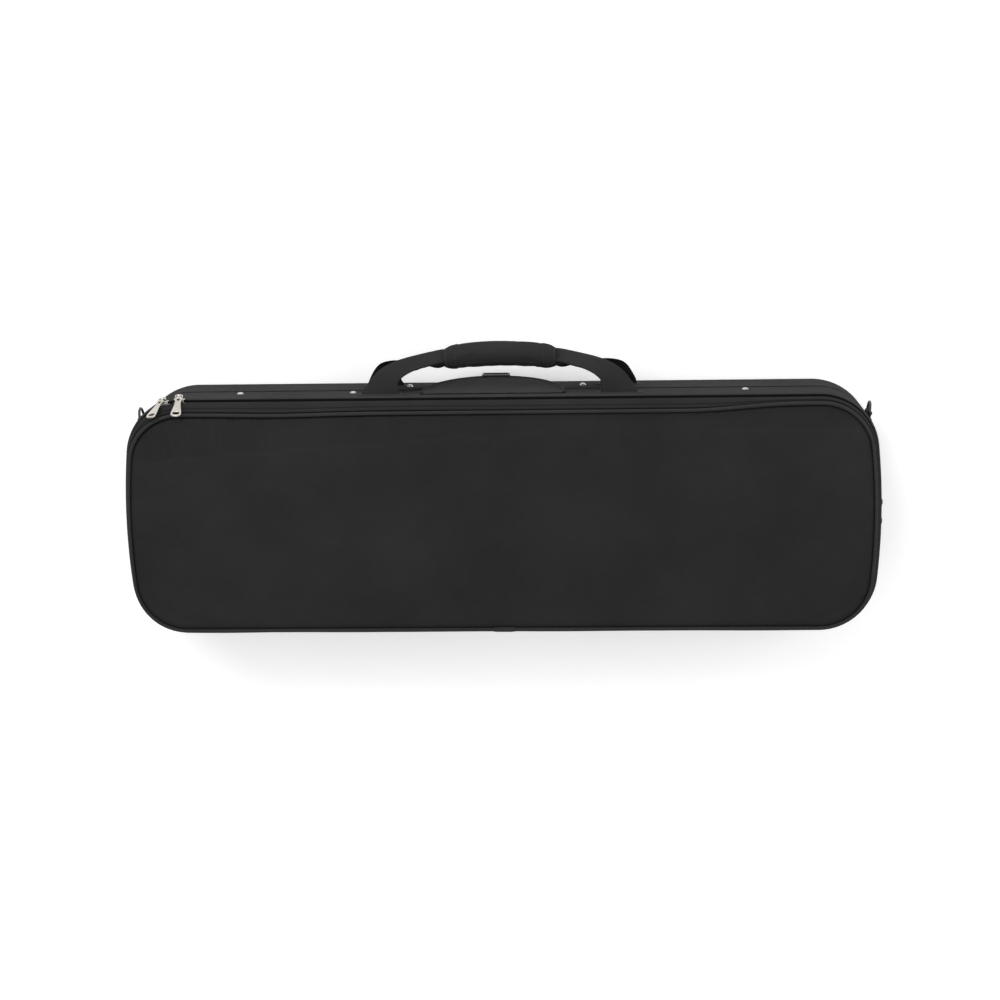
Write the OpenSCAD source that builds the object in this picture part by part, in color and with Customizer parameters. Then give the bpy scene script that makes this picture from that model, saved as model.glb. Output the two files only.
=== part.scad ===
// Oblong violin case lying on its back: X runs along the case, +Y points to the
// handle side, -Y to the hinged spine, and +Z up through the lid and the music pocket.
// Millimetres. The back rests on z = 0 and the origin is under the middle of the body.

/* [Case body] */
// Outside length of the case body
case_l = 790; // [760:1:820]
// Outside width of the case body, spine to handle side
case_w = 252; // [246:1:264]
// Radius of the four corners in plan
corner_r = 62; // [50:1:75]
// Radius of the gently bowed ends
end_r = 700; // [500:10:1200]
// Height of the base half
base_h = 70; // [66:1:78]
// Height of the lid half
lid_h = 46; // [42:1:54]
// Rounding between the back and the side walls
back_round = 14; // [10:1:18]
// Rounding between the lid's top and its side walls
lid_round = 5; // [4:1:6]

/* [Walls] */
// Thickness of the outer fabric
cover_t = 1.5; // [1:0.1:2]
// Thickness of the foam shell
shell_t = 7; // [5:0.5:8]
// Thickness of the plush lining
lining_t = 2; // [1:0.1:3]
// Height of the fabric left out beside each zip
zip_recess = 4; // [3:0.5:5]
// Gap left between pieces that move past each other
gap = 0.4; // [0.3:0.05:0.6]

/* [Music pocket] */
// Height of the pocket's gusset above its zip
pocket_h = 13; // [10:1:20]
// Inset of the pocket's panel from the case's ends and spine
panel_inset = 9; // [7:1:12]
// Extra inset of the panel along the handle side
panel_drop = 5; // [0:1:8]
// Crown of the padded panel
panel_crown = 4; // [2:0.5:8]
// Radius of the piping
piping_r = 2; // [1.5:0.1:2.5]

/* [Zips] */
// Length of a zip slider
slider_l = 12; // [10:1:14]
// Length of a zip pull
pull_l = 31; // [24:1:34]
// Widest part of a zip pull
pull_w = 11; // [9:1:13]
// Thickness of a zip pull
pull_t = 1.6; // [1.2:0.1:2]

/* [Handle] */
// Width of the webbing at its sewn feet
strap_w = 38; // [30:1:40]
// Thickness of the webbing
strap_t = 2.2; // [1.8:0.1:2.6]
// Distance between the middles of the two feet
strap_span = 240; // [220:5:260]
// Length of the padded grip
grip_l = 114; // [100:1:130]
// Thickness of the padded grip, away from the case
grip_h = 25; // [22:1:30]
// Depth of the padded grip, front to back
grip_d = 34; // [30:1:40]
// Distance of the grip's middle from the case wall
grip_stand = 35; // [32:1:45]

/* [Interior] */
// Height of the padded bed above the lining
bed_h = 47; // [40:1:48]
// Radius of the hollow for the violin's lower bout
lower_bout_r = 107; // [104:1:108]
// Radius of the hollow for the violin's upper bout
upper_bout_r = 90; // [86:1:94]

/* [Hidden] */

$fn = 48;
half_l = case_l / 2;
half_w = case_w / 2;
wall_t = cover_t + shell_t + lining_t;
lid_top = base_h + lid_h;
tape_t = 1;

// Levels of the pocket
pocket_zip_z = lid_top + 3;
gusset_z = lid_top + 6;
panel_z = gusset_z + pocket_h;

// Plan outline: straight long sides, bowed ends and corner arcs tangent to both
end_x = half_l - end_r;
corner_y = half_w - corner_r;
corner_x = end_x + sqrt(pow(end_r - corner_r, 2) - corner_y * corner_y);
end_angle = atan2(corner_y, corner_x - end_x);
CORNER_STEPS = 10;
END_STEPS = 4;

// One quarter of the outline, from the middle of the +X end to the +Y side
function quarter(inset) = concat(
    [for (i = [0 : END_STEPS - 1]) let (a = end_angle * i / END_STEPS)
        [end_x + (end_r - inset) * cos(a), (end_r - inset) * sin(a)]],
    [for (i = [0 : CORNER_STEPS]) let (a = end_angle + (90 - end_angle) * i / CORNER_STEPS)
        [corner_x + (corner_r - inset) * cos(a), corner_y + (corner_r - inset) * sin(a)]]);

function reversed(list) = [for (i = [len(list) - 1 : -1 : 0]) list[i]];

// The whole outline, counter-clockwise, moved inwards by inset
function outline(inset) = let (q = quarter(inset), n = len(q)) concat(
    q,
    [for (p = reversed(q)) if (p[1] > 0.01) [-p[0], p[1]]],
    [[-q[0][0], 0]],
    [for (p = q) if (p[1] > 0.01) [-p[0], -p[1]]],
    [for (p = reversed(q)) if (p[1] > 0.01) [p[0], -p[1]]]);

// The outline at height z; drop moves the handle side inwards
function ring(inset, z, drop = 0) = [for (p = outline(inset))
    [p[0], p[1] - drop * max(0, p[1]) / half_w, z]];

// Quarter circle of a profile in [inset, z], from the flat to the wall
function fillet(r, inset, z, steps) = [for (i = [0 : steps]) let (a = 90 * i / steps)
    [inset + r * (1 - sin(a)), z + r * (1 - cos(a))]];

// Solid through closed rings of points, capped at both ends
module loft(rings) {
    n = len(rings[0]);
    polyhedron(
        points = [for (r = rings) for (p = r) p],
        faces = concat(
            [[for (j = [0 : n - 1]) j]],
            [for (i = [0 : len(rings) - 2]) for (j = [0 : n - 1]) let (k = (j + 1) % n)
                [i * n + j, (i + 1) * n + j, (i + 1) * n + k, i * n + k]],
            [[for (j = [n - 1 : -1 : 0]) (len(rings) - 1) * n + j]]),
        convexity = 6);
}

// Solid through closed rings of points, the last joined to the first
module band(rings) {
    n = len(rings[0]);
    m = len(rings);
    polyhedron(
        points = [for (r = rings) for (p = r) p],
        faces = [for (i = [0 : m - 1]) for (j = [0 : n - 1])
            let (k = (j + 1) % n, h = (i + 1) % m) [i * n + j, h * n + j, h * n + k, i * n + k]],
        convexity = 6);
}

module profile_loft(profile) {
    loft([for (p = profile) ring(p[0], p[1])]);
}

// Straight-walled plate with the plan outline
module plate(inset, z0, z1) {
    translate([0, 0, z0])
        linear_extrude(z1 - z0) polygon(outline(inset));
}

// Straight-walled band that stops short of the spine, as a zip tape does
module tape_band(outer, inner, z0, z1) {
    difference() {
        plate(outer, z0, z1);
        plate(inner, z0 - 1, z1 + 1);
        translate([-half_l, -half_w - 10, z0 - 1])
            cube([case_l, 10 + corner_r * 0.55, z1 - z0 + 2]);
    }
}

// ---------- Base half ----------

// Foam frame of one half: a wall with a foot that the half's board fits between
module shell_frame(half_h, round_r, foot_h) {
    color("dimgray") band([for (p = concat(
        fillet(round_r - cover_t, cover_t, cover_t, 3),
        [[cover_t, half_h - 9], [cover_t + tape_t, half_h - 9],
         [cover_t + tape_t, half_h - gap / 2], [cover_t + shell_t, half_h - gap / 2],
         [cover_t + shell_t, foot_h], [back_round, foot_h]],
        round_r < back_round ? [[back_round, cover_t]] : [])) ring(p[0], p[1])]);
}

module base_frame() {
    shell_frame(base_h, back_round, cover_t + shell_t);
}

module base_board() {
    color("gray") plate(back_round, cover_t, cover_t + shell_t);
}

module base_side_cover() {
    color([0.16, 0.16, 0.17]) band([for (p = concat(
        fillet(back_round, 0, 0, 4),
        [[0, base_h - zip_recess], [cover_t, base_h - zip_recess]],
        reversed(fillet(back_round - cover_t, cover_t, cover_t, 3)))) ring(p[0], p[1])]);
}

module base_back_panel() {
    color([0.14, 0.14, 0.15]) plate(back_round, 0, cover_t);
}

module base_lining() {
    in0 = cover_t + shell_t;
    color("darkslateblue") profile_loft([[in0, in0], [in0, base_h - gap / 2],
        [wall_t, base_h - gap / 2], [wall_t, wall_t]]);
}

module base_zip_tape() {
    color([0.08, 0.08, 0.08]) {
        tape_band(cover_t, cover_t + tape_t, base_h - 9, base_h - gap / 2);
        tape_band(cover_t - 0.8, cover_t, base_h - 2, base_h - gap / 2);
    }
}

// ---------- Spine hinges ----------

hinge_x = [-250, 0, 250];
hinge_w = 50;
barrel_r = 3;
pin_r = 1.2;
leaf_t = 1.2;
leaf_h = 22;
hinge_y = -half_w - barrel_r - 0.2;
knuckle_w = hinge_w / 5;

// Knuckles at the given fifths of the hinge, with their bore
module knuckles(fifths, bore_r, side) {
    for (k = fifths) difference() {
        union() {
            translate([-hinge_w / 2 + k * knuckle_w + gap / 2, 0, 0])
                rotate([0, 90, 0]) cylinder(r = barrel_r, h = knuckle_w - gap);
            translate([-hinge_w / 2 + k * knuckle_w + gap / 2, barrel_r - leaf_t,
                       side > 0 ? 0 : -barrel_r - 1])
                cube([knuckle_w - gap, leaf_t, barrel_r + 1]);
        }
        translate([-hinge_w / 2 + k * knuckle_w - 1, 0, 0])
            rotate([0, 90, 0]) cylinder(r = bore_r, h = knuckle_w + 2);
    }
}

module leaves(fifths, bore_r, side) {
    for (x = hinge_x) translate([x, hinge_y, base_h]) {
        knuckles(fifths, bore_r, side);
        difference() {
            translate([-hinge_w / 2, barrel_r - leaf_t, side > 0 ? barrel_r + 0.6 : -leaf_h])
                cube([hinge_w, leaf_t, leaf_h - barrel_r - 0.6]);
            for (sx = [-1, 1]) translate([sx * 16, 0, side * 14])
                rotate([-90, 0, 0]) cylinder(r = 1.6, h = 10);
        }
    }
}

module hinge_base_leaves() {
    color("silver") leaves([0, 2, 4], pin_r, -1);
}

module hinge_lid_leaves() {
    color("silver") leaves([1, 3], pin_r + 0.05, 1);
}

module hinge_pins() {
    color("gainsboro") for (x = hinge_x) translate([x - hinge_w / 2, hinge_y, base_h])
        rotate([0, 90, 0]) cylinder(r = pin_r, h = hinge_w);
}

// ---------- Interior of the base ----------

floor_z = wall_t;
bed_top = floor_z + bed_h;
bed_inset = wall_t + 0.3;
neck_end_x = -235;
neck_w = 44;
lower_bout_x = half_l - bed_inset - 9 - lower_bout_r;
upper_bout_x = lower_bout_x - 160;
waist_w = 134;
box_l = 236;
box_w = 62;
box_h = 36;
box_t = 2.5;
box_x = neck_end_x + 2;
box_y = -half_w + bed_inset + 4;
neck_start_x = box_x + box_l + gap;
divider_t = 17;

// Foam blocks on both sides of the violin's hollow, from x0 to x1 and from y0 outwards
module bed_blocks(x0, x1, y0) {
    cut_h = bed_h + 2;
    color("midnightblue") difference() {
        intersection() {
            plate(bed_inset, floor_z, bed_top);
            for (s = [-1, 1]) translate([x0, s > 0 ? y0 : -y0 - half_w, floor_z])
                cube([x1 - x0, half_w, bed_h]);
        }
        translate([lower_bout_x, 0, floor_z - 1]) cylinder(r = lower_bout_r, h = cut_h, $fn = 96);
        translate([upper_bout_x, 0, floor_z - 1]) cylinder(r = upper_bout_r, h = cut_h, $fn = 96);
    }
}

module bed_end_blocks() { bed_blocks(lower_bout_x + 34, half_l, 50); }
module bed_waist_blocks() { bed_blocks(upper_bout_x + 30, lower_bout_x - 32, waist_w / 2); }
module bed_shoulder_blocks() { bed_blocks(neck_start_x, upper_bout_x - 38, neck_w / 2); }

// Two rails beside the neck, one of them against the accessory box
module neck_rails() {
    color("midnightblue") {
        translate([box_x, neck_w / 2, floor_z]) cube([box_l, 22, bed_h]);
        translate([box_x, box_y + box_w + gap, floor_z])
            cube([box_l, -neck_w / 2 - box_y - box_w - gap, bed_h]);
    }
}

// Divider between the scroll and the end compartment
module end_divider() {
    color("midnightblue") intersection() {
        plate(bed_inset, floor_z, bed_top);
        translate([neck_end_x - divider_t, -half_w, floor_z]) cube([divider_t, case_w, bed_h]);
    }
}

module suspension_pads() {
    color("slateblue") {
        translate([lower_bout_x + 62, 0, floor_z]) rounded_block(56, 120, 12, 10);
        translate([upper_bout_x - 40, 0, floor_z]) rounded_block(44, 100, 12, 10);
    }
}

// Block with rounded vertical edges, centred in x and y
module rounded_block(l, w, h, r) {
    linear_extrude(h) polygon([for (c = [[1, 1, 0], [-1, 1, 90], [-1, -1, 180], [1, -1, 270]])
        for (i = [0 : 6]) let (a = c[2] + 15 * i)
            [c[0] * (l / 2 - r) + r * cos(a), c[1] * (w / 2 - r) + r * sin(a)]]);
}

cradle_x = -60;
module neck_cradle() {
    color("slateblue") translate([cradle_x, 0, floor_z]) difference() {
        translate([-22, -neck_w / 2 + gap, 0]) cube([44, neck_w - 2 * gap, bed_h - 4]);
        translate([-30, 0, bed_h + 1]) rotate([0, 90, 0]) cylinder(r = 17, h = 60);
    }
}

neck_strap_y = -30;
module neck_strap() {
    color([0.12, 0.12, 0.14]) translate([cradle_x - 12, neck_strap_y, bed_top + gap])
        cube([24, 62, 1.6]);
}

module accessory_box() {
    color("slateblue") translate([box_x, box_y, floor_z + gap]) difference() {
        cube([box_l, box_w, box_h]);
        translate([box_t, box_t, box_t]) cube([box_l - 2 * box_t, box_w - 2 * box_t, box_h]);
    }
}

acc_lid_z = floor_z + box_h + 2 * gap;
module accessory_lid() {
    color("midnightblue") translate([box_x + 0.5, box_y + 0.5, acc_lid_z])
        cube([box_l - 1, box_w - 1, 3]);
}

module accessory_pull_tab() {
    color("black") translate([box_x + box_l / 2 - 9, box_y + box_w - 16, acc_lid_z + 3])
        cube([18, 14, 1.2]);
}

// ---------- Lid half ----------

// A cup's profile is drawn upwards and turned over for the lid
module turned_over() {
    translate([0, 0, lid_top]) mirror([0, 0, 1]) children();
}

lid_board_t = shell_t - 1;

module lid_frame() {
    turned_over() shell_frame(lid_h, lid_round, cover_t + lid_board_t);
}

module lid_board() {
    color("gray") turned_over() plate(back_round, cover_t, cover_t + lid_board_t);
}

module lid_cover() {
    color([0.18, 0.18, 0.19]) turned_over() profile_loft(concat(
        fillet(lid_round, 0, 0, 3),
        [[0, lid_h - zip_recess], [cover_t, lid_h - zip_recess]],
        reversed(fillet(lid_round - cover_t, cover_t, cover_t, 3))));
}

module lid_lining() {
    in0 = cover_t + shell_t;
    color("darkslateblue") turned_over() profile_loft([[in0, cover_t + lid_board_t],
        [in0, lid_h - gap / 2], [wall_t, lid_h - gap / 2],
        [wall_t, cover_t + lid_board_t + lining_t]]);
}

module lid_zip_tape() {
    color([0.08, 0.08, 0.08]) {
        tape_band(cover_t, cover_t + tape_t, base_h + gap / 2, base_h + 9);
        tape_band(cover_t - 0.8, cover_t, base_h + gap / 2, base_h + 2);
    }
}

lid_ceiling = lid_top - cover_t - lid_board_t - lining_t;
screw_x = [-273, -154, 255];
screw_z = base_h + 18;

// Domed head standing on the handle-side wall
module dome_head(r, h) {
    rotate([-90, 0, 0]) rotate_extrude() polygon(concat(
        [[0, 0]], [for (i = [0 : 6]) let (a = 15 * i) [r * cos(a), h * sin(a)]]));
}

module cover_screws() {
    color("silver") for (x = screw_x) translate([x, half_w, screw_z]) dome_head(3.5, 1.8);
}

bow_y = 48;
module bow_tip_sleeves() {
    color([0.12, 0.12, 0.14]) for (s = [-1, 1]) translate([-300, s * bow_y, lid_ceiling - 13])
        difference() {
            translate([0, -18, 0]) cube([60, 36, 13]);
            translate([-1, -14, 3]) cube([62, 28, 7]);
        }
}

spinner_x = 270;
spinner_drop = 15;
module spinner_posts() {
    color("silver") for (s = [-1, 1]) translate([spinner_x, s * bow_y, lid_ceiling - spinner_drop])
        cylinder(r = 3, h = spinner_drop);
}

// Turn button that holds a bow's frog against the lid
module bow_spinner(s) {
    color("black") translate([spinner_x, s * bow_y, lid_ceiling - spinner_drop]) difference() {
        translate([0, 0, 1]) union() {
            rounded_block(16, 52, 5, 7);
            cylinder(r = 7, h = 12);
        }
        cylinder(r = 3.05, h = 20);
    }
}

module bow_spinner_upper() { bow_spinner(1); }
module bow_spinner_lower() { bow_spinner(-1); }

// ---------- Storm flap over the middle of the main zip ----------

flap_x = -7;
flap_l = 148;
flap_top_z = lid_top - 10;
flap_depth = 84;
flap_t = 2.4;
flap_lean = 3.5;
tip_w = 30;
tip_h = 14;
patch_l = 60;
patch_w = 18;
patch_t = 0.9;
patch_z = base_h - 32;

// Half-moon of chord w and depth h hanging below the x axis
function half_moon(w, h) = [for (i = [0 : 24]) let (a = 180 * i / 24)
    [w / 2 * cos(a), -h * sin(a)]];

// Places a shape drawn in plan on the handle-side wall at the flap's sewn edge, with
// its thickness outwards; the flap leans off the wall by flap_lean
module on_flap() {
    translate([flap_x, half_w + gap, flap_top_z]) rotate([90 + flap_lean, 0, 0])
        mirror([0, 0, 1]) children();
}

module storm_flap() {
    color([0.2, 0.2, 0.21]) on_flap()
        linear_extrude(flap_t) polygon(half_moon(flap_l, flap_depth));
}

// Pressed metal tip with a raised rim
module flap_tip_plate() {
    color("gainsboro") on_flap() translate([0, 3 - flap_depth, flap_t]) difference() {
        rounded_block(tip_w, tip_h, 2.6, 3);
        translate([0, 0, 1.4]) rounded_block(tip_w - 5, tip_h - 5, 4, 2);
    }
}

module flap_hook_patch() {
    color([0.1, 0.1, 0.1]) on_flap() translate([0, patch_z - flap_top_z + patch_w / 2, -patch_t])
        rounded_block(patch_l, patch_w, patch_t, 3);
}

module flap_loop_patch() {
    color([0.1, 0.1, 0.1]) translate([flap_x, half_w + 0.01, patch_z + patch_w / 2])
        rotate([90, 0, 0]) mirror([0, 0, 1]) rounded_block(patch_l, patch_w, patch_t, 3);
}

// ---------- Handle ----------

foot_x = strap_span / 2;
foot_z = 33;
grip_y = half_w + grip_stand;
grip_z = base_h + 2;
web_w = 26;
web_step = 2.1;

// Middle line of the grip: a shallow arch
function arch_y(x) = grip_y + 3 - 4 * pow(2 * x / grip_l, 2);

// Four corners of the webbing at point c. The webbing starts facing up, with its length
// away from the wall. It turns in its own plane by turn, then twists about its length.
function strap_ring(c, turn, twist, w) = let (
    along = [sin(turn), cos(turn), 0],
    across = [cos(turn), -sin(turn), 0],
    w_dir = across * cos(twist) - cross(along, across) * sin(twist),
    t_dir = [0, 0, 1] * cos(twist) - cross(along, [0, 0, 1]) * sin(twist))
    [for (k = [[-1, -1], [1, -1], [1, 1], [-1, 1]])
        c + w_dir * k[0] * w / 2 + t_dir * k[1] * strap_t / 2];

// Left half of a strap, from its foot to the middle of the grip. Heights are counted from
// the grip, so that the rear strap is turned over. The front strap keeps its face forward
// until it enters the grip.
function half_strap(side) = let (
    lift = side * web_step,
    grip_end = arch_y(-grip_l / 2),
    twist = side > 0 ? [16, 40, 55, 64, 76] : [12, 32, 54, 80, 88]) [
    strap_ring([-foot_x - 4, half_w + 0.2, foot_z], 0, 0, strap_w),
    strap_ring([-foot_x - 2, half_w + 9, foot_z - 2], 3, 4, strap_w - 5),
    strap_ring([-foot_x + 3.5, half_w + 18, foot_z - 5], 16, twist[0], web_w + 1),
    strap_ring([-foot_x + 14, grip_end - 11 + lift, foot_z - 10], 40, twist[1], web_w - 1),
    strap_ring([-foot_x + 28, grip_end - 7 + 1.5 * lift, foot_z - 16], 62, twist[2], web_w - 1),
    strap_ring([-foot_x + 44, grip_end - 4 + 1.6 * lift, foot_z - 24], 76, twist[3], web_w),
    strap_ring([-foot_x + 54, grip_end - 2 + 1.6 * lift, foot_z - 29], 80, twist[4], web_w),
    strap_ring([-grip_l / 2 - 1.5, grip_end + lift, 0], 84, 90, web_w),
    strap_ring([-grip_l / 4, arch_y(-grip_l / 4) + lift, 0], 88, 90, web_w),
    strap_ring([0, arch_y(0) + lift, 0], 90, 90, web_w)];

// Both halves joined; side is 1 for the front strap and -1 for the rear strap
module strap(side) {
    half = half_strap(side);
    far = [for (i = [len(half) - 2 : -1 : 0]) [for (p = half[i]) [-p[0], p[1], p[2]]]];
    rings = [for (r = concat(half, far)) [for (p = r) [p[0], p[1], grip_z + side * p[2]]]];
    loft(side > 0 ? [for (r = rings) reversed(r)] : rings);
}

module front_strap() {
    color([0.13, 0.13, 0.13]) strap(1);
}

module rear_strap() {
    color([0.1, 0.1, 0.1]) strap(-1);
}

rivet_x = [-98, 86];
rivet_z = base_h - 26;
module rear_strap_rivets() {
    color("silver") for (x = rivet_x) translate([x, half_w, rivet_z]) dome_head(3.6, 2.4);
}

// Section of the wrap in [y, z]: an oval with a slot open towards the back,
// where the rear strap leaves when the lid opens
SLOT_HIGH = 4.6;
SLOT_LOW = 8;
slot_z = 14;
WRAP_STEPS = 12;
function wrap_section() = let (
    a0 = atan2(-sqrt(1 - pow(2 * SLOT_HIGH / grip_h, 2)), 2 * SLOT_HIGH / grip_h),
    a1 = atan2(-sqrt(1 - pow(2 * SLOT_LOW / grip_h, 2)), -2 * SLOT_LOW / grip_h) + 360)
    concat(
        [for (i = [0 : WRAP_STEPS]) let (a = a0 + (a1 - a0) * i / WRAP_STEPS)
            [grip_h / 2 * cos(a), grip_d / 2 * sin(a)]],
        [[-SLOT_LOW, slot_z], [SLOT_HIGH, slot_z]]);

module grip_pad() {
    steps = 6;
    color([0.22, 0.22, 0.22]) loft([for (i = [0 : steps])
        let (x = -grip_l / 2 + grip_l * i / steps)
        [for (p = wrap_section()) [x, arch_y(x) + p[0], grip_z + p[1]]]]);
}

// ---------- D-rings ----------

ring_z = 46;
tab_h = 22;
tab_a0 = 6;
tab_a1 = 26;
wire_r = 1.4;
loop_r = corner_r + 3.2;
loop_a = tab_a1 + 2;
d_r = 11;

// Webbing tab wrapped round a corner, ending in the loop that holds the ring
module ring_tab(s) {
    color([0.12, 0.12, 0.12]) mirror([s > 0 ? 0 : 1, 0, 0]) translate([corner_x, corner_y, 0]) {
        rotate([0, 0, tab_a0]) rotate_extrude(angle = tab_a1 - tab_a0, $fn = 96)
            translate([corner_r + 0.05, ring_z - tab_h / 2]) square([2.4, tab_h]);
        translate([loop_r * cos(loop_a), loop_r * sin(loop_a), ring_z - tab_h / 2 + 2])
            difference() {
                cylinder(r = 3.1, h = tab_h - 4);
                translate([0, 0, -1]) cylinder(r = wire_r + 0.3, h = tab_h);
            }
    }
}

module ring_tab_left() { ring_tab(-1); }
module ring_tab_right() { ring_tab(1); }

module d_ring(s) {
    color([0.1, 0.1, 0.1]) mirror([s > 0 ? 0 : 1, 0, 0])
        translate([corner_x + loop_r * cos(loop_a), corner_y + loop_r * sin(loop_a), ring_z])
        rotate([0, 0, loop_a + 55]) {
            translate([0, 0, -d_r]) cylinder(r = wire_r, h = 2 * d_r);
            rotate([90, 0, 0]) rotate([0, 0, -90]) rotate_extrude(angle = 180, $fn = 64)
                translate([d_r, 0]) circle(r = wire_r, $fn = 24);
        }
}

module d_ring_left() { d_ring(-1); }
module d_ring_right() { d_ring(1); }

// ---------- Zips ----------

ear_t = 1.2;
bar_r = 0.8;
barrel_l = 5;
barrel_out_r = 1.8;

// Slider with two ears and a cross bar. Travel along x, out of the wall along z.
module zip_slider(width, height, bar_up) {
    difference() {
        translate([-slider_l / 2, -width / 2, 0]) cube([slider_l, width, height]);
        for (s = [-1, 1]) translate([s * slider_l / 2, width / 2 * s, height / 2])
            rotate([0, 0, 45]) cube([2.5, 2.5, height + 1], center = true);
    }
    for (s = [-1, 1]) translate([s * (barrel_l / 2 + ear_t / 2 + 0.3), 0, height]) {
        translate([-ear_t / 2, -1.4, -0.5]) cube([ear_t, 2.8, bar_up + 0.5]);
        translate([-ear_t / 2, 0, bar_up]) rotate([0, 90, 0]) cylinder(r = 1.4, h = ear_t);
    }
    translate([-barrel_l / 2 - ear_t, 0, height + bar_up])
        rotate([0, 90, 0]) cylinder(r = bar_r, h = barrel_l + 2 * ear_t);
}

// Outline of a pull: a wide head, a waist and a wide eye at the far end
function pull_half(u) = pull_w / 2 * (u < 0.3 ? 0.85 - 0.28 * pow(sin(u / 0.3 * 90), 2)
    : u < 0.9 ? 0.57 + 0.43 * pow(sin((u - 0.3) / 0.6 * 90), 2)
    : sqrt(max(0.02, 1 - pow((u - 0.9) / 0.1, 2))));

// Pull hanging along +y from a barrel on the x axis, flat in z. swivel turns its plate in its own plane
module zip_pull(swivel = 0) {
    y0 = 1.2;
    difference() {
        union() {
            rotate([0, 0, swivel]) translate([0, 0, -pull_t / 2]) linear_extrude(pull_t) polygon(concat(
                [for (i = [0 : 20]) [pull_half(i / 20), y0 + (pull_l - y0) * i / 20]],
                [for (i = [20 : -1 : 0]) [-pull_half(i / 20), y0 + (pull_l - y0) * i / 20]]));
            translate([-barrel_l / 2, 0, 0]) rotate([0, 90, 0]) cylinder(r = barrel_out_r, h = barrel_l);
        }
        translate([-barrel_l / 2 - 1, 0, 0]) rotate([0, 90, 0])
            cylinder(r = bar_r + 0.1, h = barrel_l + 2);
        for (s = [-1, 1]) translate([s * (barrel_l / 2 + 2), 0, 0])
            cube([4, 5.4, 6], center = true);
        rotate([0, 0, swivel]) {
            for (s = [-1.5, 1.5]) translate([s, pull_l - 4.6, -2]) cylinder(r = 1.9, h = 4);
            translate([-1.5, pull_l - 6.5, -2]) cube([3, 3.8, 4]);
            translate([0, 6.2, -2]) cylinder(r = 1.5, h = 4);
        }
    }
}

// Places children on the handle-side wall of the pocket zip: x along the case, z outwards
pocket_slider_h = 4.6;
pocket_slider_w = 5.2;
pocket_bar_up = 3.2;
slider_left_x = -349;
slider_right_x = -332;
module at_pocket_zip(x) {
    if (x < -corner_x - 3) translate([-corner_x, corner_y, pocket_zip_z])
        rotate([0, 0, asin((-corner_x - x) / corner_r)])
        translate([0, corner_r - 5.1 + 0.3, 0]) rotate([-90, 0, 0]) children();
    else translate([x, half_w - 5.1 + 0.3, pocket_zip_z]) rotate([-90, 0, 0]) children();
}

module pocket_slider_at(x) {
    color("silver") at_pocket_zip(x)
        zip_slider(pocket_slider_w, pocket_slider_h, pocket_bar_up);
}

// The pull leans back over the piping, lift degrees above the table
module pocket_pull_at(x, lift, swivel) {
    color("silver") at_pocket_zip(x) translate([0, 0, pocket_slider_h + pocket_bar_up])
        rotate([270 - lift, 0, 0]) zip_pull(swivel);
}

module pocket_slider_left() { pocket_slider_at(slider_left_x); }
module pocket_slider_right() { pocket_slider_at(slider_right_x); }
module pocket_pull_left() { pocket_pull_at(slider_left_x, 64, 25); }
module pocket_pull_right() { pocket_pull_at(slider_right_x, 55, 0); }

// Places children on the +X end at the main zip: x along the end, z outwards
main_slider_w = 7.6;
main_slider_h = 2.4;
main_bar_up = 2.3;
main_upper_y = 2;
main_lower_y = -18;
module at_main_zip(y) {
    translate([end_x, 0, base_h]) rotate([0, 0, asin(y / end_r)])
        translate([end_r - 0.5, 0, 0]) rotate([0, 90, 0]) rotate([0, 0, 90]) children();
}

module main_slider_at(y) {
    color([0.2, 0.2, 0.2]) at_main_zip(y)
        zip_slider(main_slider_w, main_slider_h, main_bar_up);
}

module main_pull_at(y) {
    color([0.2, 0.2, 0.2]) at_main_zip(y) translate([0, 0, main_slider_h + main_bar_up])
        rotate([180, 0, 0]) zip_pull();
}

module main_slider_upper() { main_slider_at(main_upper_y); }
module main_slider_lower() { main_slider_at(main_lower_y); }
module main_pull_upper() { main_pull_at(main_upper_y); }
module main_pull_lower() { main_pull_at(main_lower_y); }

// ---------- Music pocket ----------

// Outer profile of the gusset in [inset, z, share of the panel's drop]
GUSSET = [[3, gusset_z, 0], [3.4, gusset_z + 3.5, 0.1], [6.4, gusset_z + 8.5, 0.55],
    [panel_inset - 0.6, panel_z - 1.2, 0.95]];
GUSSET_T = 2.1;

module pocket_gusset() {
    color([0.17, 0.17, 0.18]) band([for (p = concat(GUSSET,
        [for (p = reversed(GUSSET)) [p[0] + GUSSET_T, p[1] - (p[1] > gusset_z ? 0.6 : 0), p[2]]]))
        ring(p[0], p[1], p[2] * panel_drop)]);
}

module pocket_panel() {
    edge = panel_inset + 1.4;
    color([0.15, 0.15, 0.155]) loft([
        ring(edge, panel_z - 1.6, panel_drop),
        ring(edge, panel_z + 0.8, panel_drop),
        ring(22, panel_z + panel_crown * 0.5, panel_drop),
        ring(38, panel_z + panel_crown * 0.85, panel_drop),
        ring(56, panel_z + panel_crown, panel_drop)]);
}

module pocket_piping() {
    sides = 8;
    color([0.25, 0.25, 0.26]) band([for (i = [0 : sides - 1]) let (a = -360 * i / sides)
        ring(panel_inset - 1 + piping_r * cos(a), panel_z + 0.9 + piping_r * sin(a), panel_drop)]);
}

module pocket_tape_lower() {
    color([0.08, 0.08, 0.08]) tape_band(5, 6, lid_top + 0.01, pocket_zip_z - 0.1);
}

module pocket_tape_upper() {
    color([0.08, 0.08, 0.08]) tape_band(5, 6, pocket_zip_z + 0.1, gusset_z);
}

// ---------- Assembly ----------

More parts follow.
